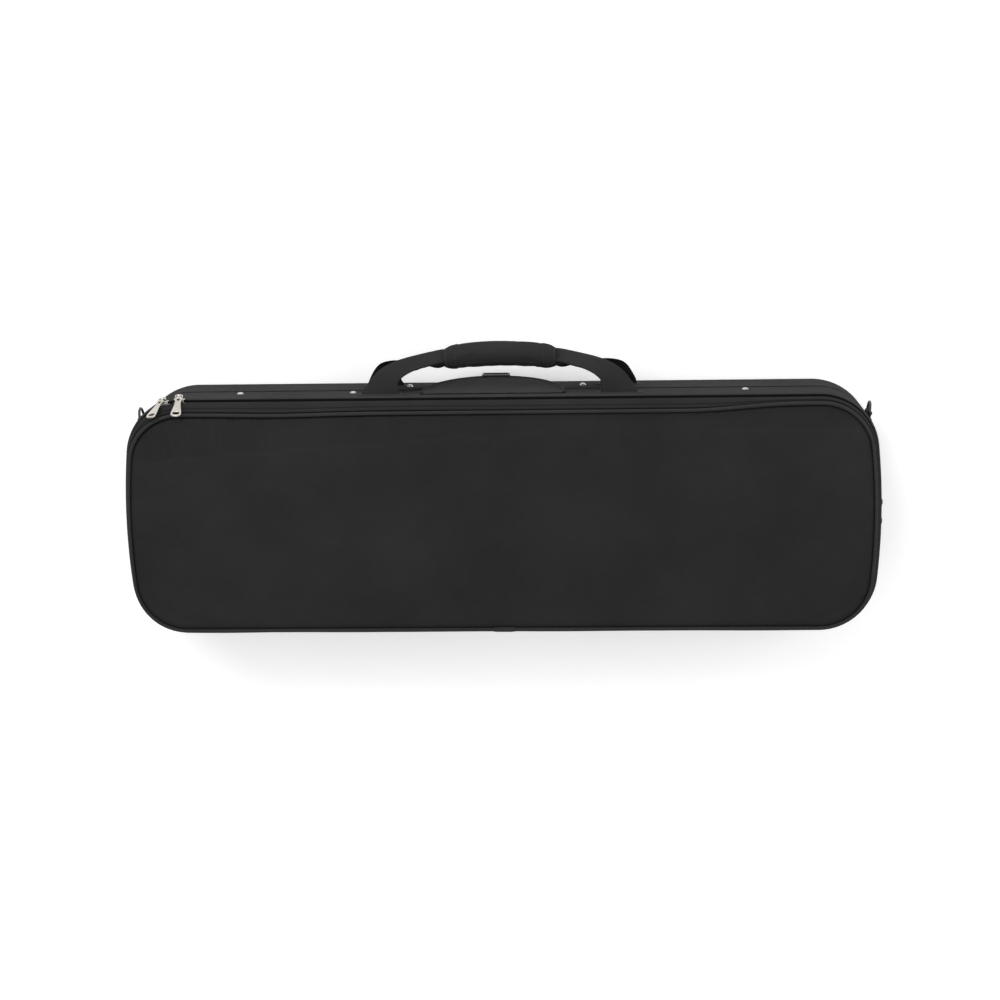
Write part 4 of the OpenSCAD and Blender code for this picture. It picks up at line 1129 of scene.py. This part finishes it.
def build_grip():
    half = GRIP_L / 2
    u = np.sin(np.linspace(-1, 1, 71) * math.pi / 2)
    x = half * u
    ends = np.clip((np.abs(x) - (half - 10 * MM)) / (10 * MM), 0, 1)
    scale = 1 - 0.30 * (1 - np.sqrt(1 - 0.98 * ends ** 2)) + 0.02 * (1 - u ** 2)
    base = grip_section()
    grid = np.zeros((len(base), len(x), 3))
    for k, (xx, s) in enumerate(zip(x, scale)):
        section = grip_section(s, min(1.0, 0.5 + 0.5 * s))
        grid[:, k] = np.c_[np.full(len(section), xx), arch_y(xx) + section[:, 0], GRIP_Z + section[:, 1]]
    grip = grid_piece("grip_wrap", grid, "lid", "grip_fabric", close_rows=True, caps=True,
                      replaces=["grip_pad"])
    n_out = 64
    ring = np.minimum(np.arange(len(base)), np.abs(n_out - 1 - np.arange(len(base))))
    free_ring = np.where(np.arange(len(base)) < n_out, smoothstep(ring / 7), 0)
    free_x = smoothstep((half - np.abs(x)) / (8 * MM))
    cloth_puff(grip, (free_ring[:, None] * free_x[None]).ravel(), pressure=3.0, cap=0.9 * MM, shrink=-0.010,
               bend=0.8)
    subdivided(grip)

    # Bound ends, with a row of stitching beside each
    tubes, rows = [], []
    for e in (-1, 1):
        section = grip_section(0.74)
        ring = np.c_[np.full(len(section), e * (half - 0.2 * MM)), arch_y(half) + section[:, 0],
                     GRIP_Z + section[:, 1]]
        g = tube_grid(ring[:n_out], 1.15 * MM, 10, False, up=(1, 0, 0))
        f, _ = grid_faces(n_out, 10, False, True)
        tubes.append((g.reshape(-1, 3), f.tolist()
                      + [list(range(10))[::-1], [(n_out - 1) * 10 + k for k in range(10)]]))
        inset = grip_section(1.01)
        path = np.c_[np.full(n_out, e * (half - 11 * MM)), arch_y(half - 11 * MM) + inset[:n_out, 0],
                     GRIP_Z + inset[:n_out, 1]]
        middle = np.array([0, arch_y(half), GRIP_Z])
        normals = (path - middle) * [0, 1, 1]
        rows.append((path[4:-4], (normals / np.linalg.norm(normals, axis=1)[:, None])[4:-4]))
    v, f = merged(tubes)
    add_piece("grip_binding", v, f, "lid", "binding")
    stitches("grip_stitches", rows, "lid", thick=0.42 * MM, sunk=-0.25 * MM)


# ---------- Storm flap ----------

FLAP_X, FLAP_L, FLAP_DEPTH, FLAP_TOP, FLAP_LEAN = -7 * MM, 148 * MM, 84 * MM, 106 * MM, 3.5


def flap_place():
    return (Matrix.Translation((FLAP_X, HALF_W + 0.4 * MM, FLAP_TOP))
            @ Matrix.Rotation(math.radians(90 + FLAP_LEAN), 4, "X")
            @ Matrix.Diagonal((1, 1, -1, 1)))


def half_moon(inset=0.0, n=60):
    a = np.linspace(0, math.pi, n)
    x, y = (FLAP_L / 2 - inset) * np.cos(a), -(FLAP_DEPTH - inset) * np.sin(a)
    return np.c_[x, y]


def build_flap():
    place = flap_place()
    edge = dense(half_moon(0.6 * MM), 3 * MM)
    t = 2.3 * MM

    def top(p, d):
        hang = np.clip(-p[:, 1] / FLAP_DEPTH, 0, 1)
        return t * (0.55 + 0.45 * np.sqrt(1 - (1 - np.clip(d / (3 * MM), 0,
                                                           1)) ** 2)) + np.clip(d / (22 * MM), 0, 1) * (
            1.5 * MM + ripple(np.c_[p, np.zeros(len(p))], 0.07, 12) * 0.35 * MM) * (1 - 0.3 * hang)

    verts, faces, uv, n, d = pad_mesh(edge, 3.6 * MM, top, lambda p, e: np.zeros(len(p)))
    flap = add_piece("flap_pad", placed(verts, place), faces, "storm_flap", "cover_fabric", ["storm_flap"],
                     uv)
    free = np.concatenate([smoothstep(d / (8 * MM)), np.zeros(n)])
    cloth_puff(flap, free, pressure=0.8, cap=1.0 * MM, shrink=-0.004)
    subdivided(flap)

    arc_line = half_moon(0.5 * MM, 80)
    path = placed(np.c_[arc_line, np.full(80, t / 2)], place)
    section_up = np.array((place.to_3x3() @ Vector((0, 0, 1)))[:])
    g = tube_grid(path, 1.55 * MM, 10, False, up=section_up)
    grid_piece("flap_binding", np.swapaxes(g, 0, 1), "storm_flap", "binding", close_rows=True, caps=True)
    rows = []
    for inset in (3.4, 7.5):
        line = half_moon(inset * MM, 90)[3:-3]
        inner = np.clip(inset * MM - 0.6 * MM, 0, None)
        height = t + inner / (22 * MM) * 1.5 * MM
        rows.append((placed(np.c_[line, np.full(len(line), height)], place),
                     np.tile(section_up, (len(line), 1))))
    top_line = np.c_[np.linspace(-FLAP_L / 2 + 6 * MM, FLAP_L / 2 - 6 * MM, 60), np.full(60, -3 * MM),
                     np.full(60, t + 0.15 * MM)]
    rows.append((placed(top_line, place), np.tile(section_up, (60, 1))))
    stitches("flap_stitches", rows, "storm_flap", sunk=0.0)

    # Pressed metal tip with a raised rim and two rivets
    def block(w, h, r):
        return rounded([(-w / 2, -h / 2, r), (w / 2, -h / 2, r), (w / 2, h / 2, r), (-w / 2, h / 2, r)],
                       steps=8)

    w, h = 30 * MM, 14 * MM
    base, base_f = plate_mesh([block(w, h, 3.2 * MM)], 1.5 * MM, 0.5 * MM)
    rim, rim_f = plate_mesh([block(w, h, 3.2 * MM), block(w - 4.6 * MM, h - 4.6 * MM, 1.8 * MM)], 1.3 * MM,
                            0.55 * MM)
    at = place @ Matrix.Translation((0, 3 * MM - FLAP_DEPTH, 2.4 * MM))
    v, f = merged([(base + [0, 0, 0.75 * MM], base_f), (rim + [0, 0, 1.95 * MM], rim_f)])
    add_piece("flap_tip", placed(v, at), f, "storm_flap", "black_metal", ["flap_tip_plate"])
    turned("flap_tip_rivets", [(0, 2.35 * MM), (0.9 * MM, 2.2 * MM), (1.5 * MM, 1.7 * MM),
                               (1.6 * MM, 1.3 * MM)],
           [at @ Matrix.Translation((s * 8.5 * MM, 0, 0)) for s in (-1, 1)], "storm_flap", "black_metal", 20)


# ---------- Studs, rings and hinges ----------


def on_wall(x, z, y=HALF_W):
    return Matrix.Translation((x * MM, y, z * MM)) @ Matrix.Rotation(-math.pi / 2, 4, "X")


def dome(r, h):
    """A stud's head: a thin flange under a low dome."""
    t = np.linspace(0, math.pi / 2, 8)
    return [(0.01 * MM, -0.2 * MM), (r, -0.2 * MM), (r, 0.25 * MM), (r * 0.94, 0.4 * MM)] + [
        (r * 0.88 * math.cos(a), 0.42 * MM + (h - 0.42 * MM) * math.sin(a)) for a in t]


def build_hardware():
    turned("wall_studs", dome(3.5 * MM, 1.8 * MM), [on_wall(x, 88) for x in (-273, -154, 255)], "lid",
           "nickel", 28,
           ["cover_screws"])
    turned("strap_rivets", dome(3.6 * MM, 2.4 * MM), [on_wall(x, 44) for x in (-98, 86)], "base", "nickel",
           28,
           ["rear_strap_rivets"])

    # Webbing tabs: a strip laid back on itself round the ring's bar
    loop_r, loop_a, ring_z = CORNER_R + 3.2 * MM, math.radians(28), 46 * MM
    a = np.radians(np.linspace(6, 24.6, 12))
    outer = np.c_[(CORNER_R + 1.95 * MM) * np.cos(a), (CORNER_R + 1.95 * MM) * np.sin(a)]
    under = np.c_[(CORNER_R + 0.75 * MM) * np.cos(a), (CORNER_R + 0.75 * MM) * np.sin(a)]
    eye = np.array([loop_r * math.cos(loop_a), loop_r * math.sin(loop_a)])
    turn = loop_a + np.radians(np.linspace(-55, 205, 16))
    path = np.concatenate([outer, eye + 2.35 * MM * np.c_[np.cos(turn), np.sin(turn)], under[::-1]])
    path = catmull(path[:, :], 2)
    t = tangents(path, False)
    normal = np.c_[t[:, 1], -t[:, 0]]
    for side, s in (("right", 1), ("left", -1)):
        centre = np.c_[(path[:, 0] + CORNER_X) * s, path[:, 1] + CORNER_Y, np.full(len(path), ring_z)]
        thick = np.c_[normal[:, 0] * s, normal[:, 1], np.zeros(len(path))]
        band_piece(f"{side}_ring_webbing", centre, np.tile([0, 0, 1.0], (len(path), 1)), thick,
                   np.full(len(path), 21 * MM), 1.05 * MM, "base", "webbing", replaces=[f"ring_tab_{side}"])
        rows = []
        for z in (-8, 8):
            line = np.c_[(outer[:, 0] + outer[:, 0] / CORNER_R * 0.6 * MM + CORNER_X) * s,
                         outer[:, 1] + outer[:, 1] / CORNER_R * 0.6 * MM + CORNER_Y,
                         np.full(12, ring_z + z * MM)]
            out = np.c_[np.cos(a) * s, np.sin(a), np.zeros(12)]
            rows.append((line, out))
        for k in (1, 10):
            line = dense(np.array([rows[0][0][k], rows[1][0][k]]), 2 * MM, False)
            rows.append((line, np.tile(rows[0][1][k], (len(line), 1))))
        stitches(f"{side}_ring_stitches", rows, "base", thick=0.3 * MM, length=2.2 * MM, space=0.9 * MM)

        d_r, lean = 11 * MM, loop_a + math.radians(55)
        b = np.linspace(-math.pi / 2, math.pi / 2, 26)
        loop = np.concatenate([np.c_[np.zeros(2), [4 * MM, -4 * MM]],
                               rounded([(0, -4 * MM, 0), (0, -d_r, 1.6 * MM), (2.2 * MM, -d_r, 0)],
                                       closed=False)[1:],
                               np.c_[d_r * np.cos(b), d_r * np.sin(b)][3:-3],
                               rounded([(2.2 * MM, d_r, 0), (0, d_r, 1.6 * MM), (0, 4 * MM, 0)],
                                       closed=False)[:-1]])
        ring = np.c_[(CORNER_X + eye[0] + loop[:, 0] * math.cos(lean)) * s,
                     CORNER_Y + eye[1] + loop[:, 0] * math.sin(lean), ring_z + loop[:, 1]]
        tube_piece(f"{side}_ring", ring, 1.4 * MM, f"d_ring_{side}", "black_metal", 14, closed=True,
                   up=(-math.sin(lean) * s, math.cos(lean), 0), replaces=[f"d_ring_{side}"])

    # Hinge leaves and pins keep their CAD shape, with soft edges and domed rivets in their holes
    for node, look, width in (("hinge_base_leaves", "hinge_steel", 0.25),
                              ("hinge_lid_leaves", "hinge_steel", 0.25),
                              ("hinge_pins", "hinge_steel", 0.2), ("spinner_posts", "nickel", 0.4),
                              ("bow_spinner_upper", "black_plastic", 0.9),
                              ("bow_spinner_lower", "black_plastic", 0.9),
                              ("accessory_box", "plush_dark", 0.7)):
        keep_node(node, look, width)
    for body, z in (("base", 70 - 14), ("lid", 70 + 14)):
        spots = [Matrix.Translation(((x + s * 16) * MM, -HALF_W - 1.4 * MM, z * MM))
                 @ Matrix.Rotation(math.pi / 2, 4, "X")
                 for x in (-250, 0, 250) for s in (-1, 1)]
        turned(f"{body}_hinge_rivets", [(0.01 * MM, -1.0 * MM), (1.5 * MM, -1.0 * MM),
                                        (1.5 * MM, 0.05 * MM), (2.3 * MM, 0.1 * MM),
                                        (2.2 * MM, 0.45 * MM), (1.4 * MM, 0.85 * MM),
                                        (0.01 * MM, 1.0 * MM)], spots, body,
               "hinge_steel", 18)


def keep_node(node, look, bevel=0.0):
    """Shows the CAD node itself with one of the materials and, if asked, rounded edges."""
    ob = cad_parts[node]
    dress(ob, None, look)
    if bevel:
        mod = ob.modifiers.new("edges", "BEVEL")
        mod.width, mod.segments, mod.limit_method, mod.angle_limit = bevel * MM, 2, "ANGLE", math.radians(35)
        mod.use_clamp_overlap = True
    ob.data.update()


# ---------- Cloth strips on the spine side ---------


def build_webs():
    for name, bodies, profile, x_end, z_from, z_to in (
            ("spine_web", ("base", "lid"), [(1.22, 58), (1.22, 66), (1.1, 70), (1.22, 74), (1.22, 82)],
             CORNER_X + 7 * MM,
             BASE_HEM, LID_HEM),
            ("pocket_web", ("lid", "pocket"), [(6.6, 116.15), (5.0, 117.0), (4.2, 119.0), (4.4, 121.0),
                                               (5.3, 123.5), (5.9, 127)],
             CORNER_X + 30 * MM, LID_TOP + 1.5 * MM, GUSSET_Z + 1 * MM)):
        p = catmull(np.array(profile, float), 4) * MM
        thin = 0.22 * MM
        t = tangents(p, False)
        back = p + np.c_[t[:, 1], -t[:, 0]] * thin
        band = np.concatenate([p, back[::-1]])
        rings = []
        for inset, z in band:
            ring = plan_ring(inset, z)
            keep = (ring[:, 1] < -60 * MM) & (np.abs(ring[:, 0]) <= x_end)
            start = next(k for k in range(len(ring)) if keep[k] and not keep[k - 1])
            rings.append(np.roll(ring, -start, 0)[:int(keep.sum())])
        n = min(len(r) for r in rings)
        grid = np.array([r[:n] for r in rings])
        web = grid_piece(name, grid, None, "cover_fabric", close_rows=True, caps=True)
        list(bodies)
        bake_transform(web)
        length = float(run_length(grid[0])[-1])
        float(run_length(p)[-1])


# ---------- Stitching on the shell ----------


def build_seams():
    for name, body, inset, z, stop, share in (("base_seam", "base", 0.0, BASE_HEM - 3 * MM, MAIN_STOP, 0.0),
                                       ("lid_seam", "lid", 0.0, LID_HEM + 3 * MM, MAIN_STOP, 0.0),
                                       ("gusset_seam", "pocket", 3.35 * MM, GUSSET_Z + 2.6 * MM,
                                        POCKET_STOP, 0.07)):
        path = open_ring(inset, z, stop, 3 * MM, share)
        t = tangents(path, False)
        out = np.c_[t[:, 1], -t[:, 0], np.zeros(len(path))]
        stitches(name, [(path, out)], body, length=2.9 * MM, space=1.2 * MM, thick=0.3 * MM, sunk=0.08 * MM)


# ---------- Interior ----------


def softened(name, node, body, look, voxel=4.0, swell=0.5, smooth=5, pressure=3.0, cap=1.2,
             puff=True):
    """A fabric-covered foam piece made from a CAD node: its edges rounded and its faces slightly full."""
    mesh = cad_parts[node].data.copy()
    ob = bpy.data.objects.new(name, mesh)
    bpy.context.scene.collection.objects.link(ob)
    weld = ob.modifiers.new("weld", "WELD")
    weld.merge_threshold = 0.01 * MM
    remesh = ob.modifiers.new("remesh", "REMESH")
    remesh.mode, remesh.voxel_size = "VOXEL", voxel * MM
    round_off = ob.modifiers.new("round", "SMOOTH")
    round_off.factor, round_off.iterations = 0.6, smooth
    fuller = ob.modifiers.new("fuller", "DISPLACE")
    fuller.mid_level, fuller.strength = 0.0, swell * MM
    result = bpy.data.meshes.new_from_object(ob.evaluated_get(bpy.context.evaluated_depsgraph_get()))
    ob.modifiers.clear()
    ob.data = result
    result.name = name
    bpy.data.meshes.remove(mesh)
    result.polygons.foreach_set("use_smooth", [True] * len(result.polygons))
    uv = result.uv_layers.get("weave") or result.uv_layers.new(name="weave")
    co = np.array([v.co for v in result.vertices])
    index = np.array([l.vertex_index for l in result.loops])
    uv.data.foreach_set("uv", np.c_[co[index, 0] + co[index, 2],
                                    co[index, 1] + co[index, 2]].astype(np.float32).ravel())
    dress(ob, body, look, [node])
    if puff:
        low = co[:, 2].min()
        cloth_puff(ob, smoothstep((co[:, 2] - low) / (10 * MM)), pressure=pressure, cap=cap * MM,
                   shrink=-0.01, frames=12)
    subdivided(ob)
    return ob


def build_linings():
    z_rim, z_up = SEAM_Z - 0.06 * MM, SEAM_Z + 0.06 * MM
    inner = WALL_T
    ceiling = LID_TOP - COVER_T - 6 * MM - LINING_T
    low = [(2.7 * MM, z_rim - 0.1 * MM), (2.7 * MM, z_rim), (7.6 * MM, z_rim)] + [
        (7.6 * MM + (inner - 7.6 * MM) * math.sin(a), z_rim - (inner - 7.6 * MM) * (1 - math.cos(a)))
        for a in np.linspace(0.2, math.pi / 2, 7)]
    low += [(inner, z) for z in np.linspace(z_rim - 4 * MM, FLOOR_Z + 0.4 * MM, 12)]
    low += [(inner - 1.2 * MM, FLOOR_Z + 0.4 * MM), (inner - 1.2 * MM, z_rim - 5 * MM),
            (7.4 * MM, z_rim - 0.12 * MM)]
    grid_piece("base_plush", band_grid(low), "base", "plush", close_rows=True, close_cols=True,
               replaces=["base_lining"])
    flat_panel("base_plush_floor", inner - 0.5 * MM, FLOOR_Z, FLOOR_Z - 1.4 * MM, "base", "plush")
    flip = lambda z: SEAM_Z * 2 - z
    high = [(i, max(flip(z), z_up) if k > 0 else flip(z)) for k, (i, z) in enumerate(low[:10])]
    high += [(inner, z) for z in np.linspace(z_up + 4 * MM, ceiling - 0.4 * MM, 10)]
    high += [(inner - 1.2 * MM, ceiling - 0.4 * MM), (inner - 1.2 * MM, z_up + 5 * MM),
             (7.4 * MM, z_up + 0.12 * MM)]
    grid_piece("lid_plush", band_grid(high), "lid", "plush", close_rows=True, close_cols=True,
               replaces=["lid_lining"])
    edge = plan_ring(inner - 0.5 * MM, 0, 0, 4 * MM)[:, :2]
    verts, faces, uv, *_ = pad_mesh(
        edge, 7 * MM, lambda p, e: np.full(len(p), ceiling + 1.4 * MM),
        lambda p, e: ceiling + np.clip(1 - e / (6 * MM), 0, 1) ** 2 * 0.5 * MM
        - 0.35 * MM * ripple(np.c_[p, np.zeros(len(p))], 0.12, 31) * np.clip(e / (20 * MM), 0, 1))
    subdivided(add_piece("lid_plush_ceiling", verts, faces, "lid", "plush", (), uv))


def build_interior():
    build_linings()
    for name, node, voxel in (("lower_bout_blocks", "bed_end_blocks", 4.5),
                              ("waist_blocks", "bed_waist_blocks", 4.5),
                              ("shoulder_blocks", "bed_shoulder_blocks", 4.5),
                              ("neck_side_rails", "neck_rails", 4.0), ("end_wall", "end_divider", 4.0)):
        softened(name, node, "base", "plush", voxel)
    softened("back_pads", "suspension_pads", "base", "plush_dark", 3.2, smooth=4)
    softened("neck_rest", "neck_cradle", "base", "plush_dark", 3.0, smooth=4, cap=0.8)
    softened("box_lid", "accessory_lid", "accessory_lid", "plush", 2.0, swell=0.25, smooth=3, puff=False)
    softened("bow_pockets", "bow_tip_sleeves", "lid", "plush_dark", 1.3, swell=0.2, smooth=3, puff=False)

    # Neck strap: a hook-and-loop band lying over the neck's gap
    x = np.full(32, -60 * MM)
    y = np.linspace(-30, 32, 32) * MM
    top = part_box("neck_strap")[0].z + 0.9 * MM
    sag = -0.5 * MM * np.exp(-((y / (16 * MM)) ** 2))
    centre = np.c_[x, y, top + sag]
    t = tangents(centre, False)
    wide = np.tile([1.0, 0, 0], (32, 1))
    strap = band_piece("neck_band", centre, wide, np.cross(wide, t), np.full(32, 24 * MM), 1.4 * MM,
                       "neck_strap",
                       "webbing", replaces=["neck_strap"])
    rows = []
    for k in (2, 6, 29):
        rows.append((np.c_[np.linspace(-70, -50, 12) * MM, np.full(12, y[k]),
                           np.full(12, top + 0.75 * MM + sag[k])],
                     np.tile([0, 0, 1.0], (12, 1))))
    for dx in (-9.5, 9.5):
        line = centre + [dx * MM, 0, 0.75 * MM]
        rows.append((line[1:-1], np.tile([0, 0, 1.0], (30, 1))))
    stitches("neck_band_stitches", rows, "neck_strap", thick=0.3 * MM)

    lo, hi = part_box("accessory_pull_tab")
    mid = (lo + hi) / 2
    n = 22
    s = np.linspace(0, 1, n)
    centre = np.c_[np.full(n, mid.x), lo.y + (hi.y - lo.y) * s,
                   lo.z + 0.5 * MM + 0.5 * MM * np.sin(s * math.pi)]
    t = tangents(centre, False)
    wide = np.tile([1.0, 0, 0], (n, 1))
    band_piece("box_tab", centre, wide, np.cross(wide, t), np.full(n, 17.6 * MM), 0.9 * MM, "accessory_lid",
               "webbing",
               replaces=["accessory_pull_tab"])
    for node in ("flap_hook_patch", "flap_loop_patch"):
        keep_node(node, "hook_and_loop", 0.2)
    for node in ("base_frame", "base_board", "lid_frame", "lid_board"):
        keep_node(node, "foam_shell")


# ---------- Floor, light and camera ----------


def area_light(name, place, aim, size, power, colour=(1, 1, 1)):
    light = bpy.data.lights.new(name, "AREA")
    light.shape, light.size, light.size_y = "RECTANGLE", *size
    light.energy, light.color = power, colour
    ob = bpy.data.objects.new(name, light)
    ob.location = place
    ob.rotation_euler = (Vector(aim) - Vector(place)).to_track_quat("-Z", "Y").to_euler()
    ob.visible_camera = False
    bpy.context.scene.collection.objects.link(ob)


def build_stage():
    scene = bpy.context.scene
    scene.view_settings.view_transform = "Standard"
    world = bpy.data.worlds.new("studio")
    scene.world = world
    world.use_nodes = True
    background = world.node_tree.nodes["Background"]
    tree = world.node_tree
    place = tree.nodes.new("ShaderNodeTexCoord").outputs["Generated"]
    height = tree.nodes.new("ShaderNodeSeparateXYZ")
    tree.links.new(place, height.inputs[0])
    ramp = tree.nodes.new("ShaderNodeValToRGB")
    tree.links.new(height.outputs["Z"], ramp.inputs[0])
    ramp.color_ramp.elements[0].position, ramp.color_ramp.elements[0].color = 0.05, (0.5, 0.5, 0.51, 1)
    ramp.color_ramp.elements[1].position, ramp.color_ramp.elements[1].color = 0.6, (1, 1, 1, 1)
    tree.links.new(ramp.outputs[0], background.inputs["Color"])
    background.inputs["Strength"].default_value = 0.85

    m = Nodes("floor_paper")
    m.finish(base_color=m.mix(m.between(m.noise(3, 3), 0, 1, 0.3, 0.7), (0.93, 0.93, 0.93),
                              (0.95, 0.95, 0.95)),
             roughness=m.between(m.noise(40, 3), 0.85, 0.95), normal=m.bump(m.noise(300, 2), 0.1 * MM, 0.1),
             emission_color=(1, 1, 1, 1), emission_strength=0.25)
    a = 2 * math.pi * np.arange(96) / 96
    rings = [np.c_[r * np.cos(a), r * np.sin(a), np.full(96, z)] for r, z in
             ((60, 0), (8, 0), (2, 0), (0.5, 0), (0.02, 0))]
    faces, _ = grid_faces(5, 96, False, True)
    mesh = bpy.data.meshes.new("floor")
    mesh.from_pydata(np.concatenate(rings).tolist(), [], faces.tolist() + [[4 * 96 + k for k in range(96)]])
    mesh.materials.append(materials["floor_paper"])
    floor = bpy.data.objects.new("floor", mesh)
    scene.collection.objects.link(floor)

    area_light("key", (-0.9, 1.5, 1.9), (0, 0, 0), (1.6, 0.9), 24)
    area_light("fill", (1.6, 0.4, 1.6), (0, 0, 0), (1.2, 1.2), 8)
    area_light("rim", (0.1, 2.2, 0.7), (0, 0.1, 0.1), (2.2, 0.5), 6)

    distance, tilt, yaw, roll = 2.4, math.radians(10.8), math.radians(2.8), math.radians(0.95)
    toward = Vector((math.sin(yaw) * math.cos(tilt), math.sin(tilt), math.cos(tilt) * math.cos(yaw)))
    y_axis = Vector((0, 1, 0))
    right0 = y_axis.cross(toward).normalized()
    up0 = toward.cross(right0)
    c, s = math.cos(roll), math.sin(roll)
    right, up = right0 * c - up0 * s, right0 * s + up0 * c
    aim = Vector((0, 0, 0.065)) - right * 3.195 * MM + up * 6.070 * MM
    camera = bpy.data.cameras.new("camera")
    camera.lens, camera.sensor_width = 81.13, 36
    camera.dof.use_dof = False
    ob = bpy.data.objects.new("camera", camera)
    ob.matrix_world = Matrix.Translation(aim + toward
                                         * distance) @ Matrix((right, up, toward)).transposed().to_4x4()
    scene.collection.objects.link(ob)
    scene.camera = ob


build_shell_fabric()
build_pocket()
build_zips()
build_sliders()
build_handle()
build_flap()
build_hardware()
build_webs()
build_seams()
build_interior()
build_stage()
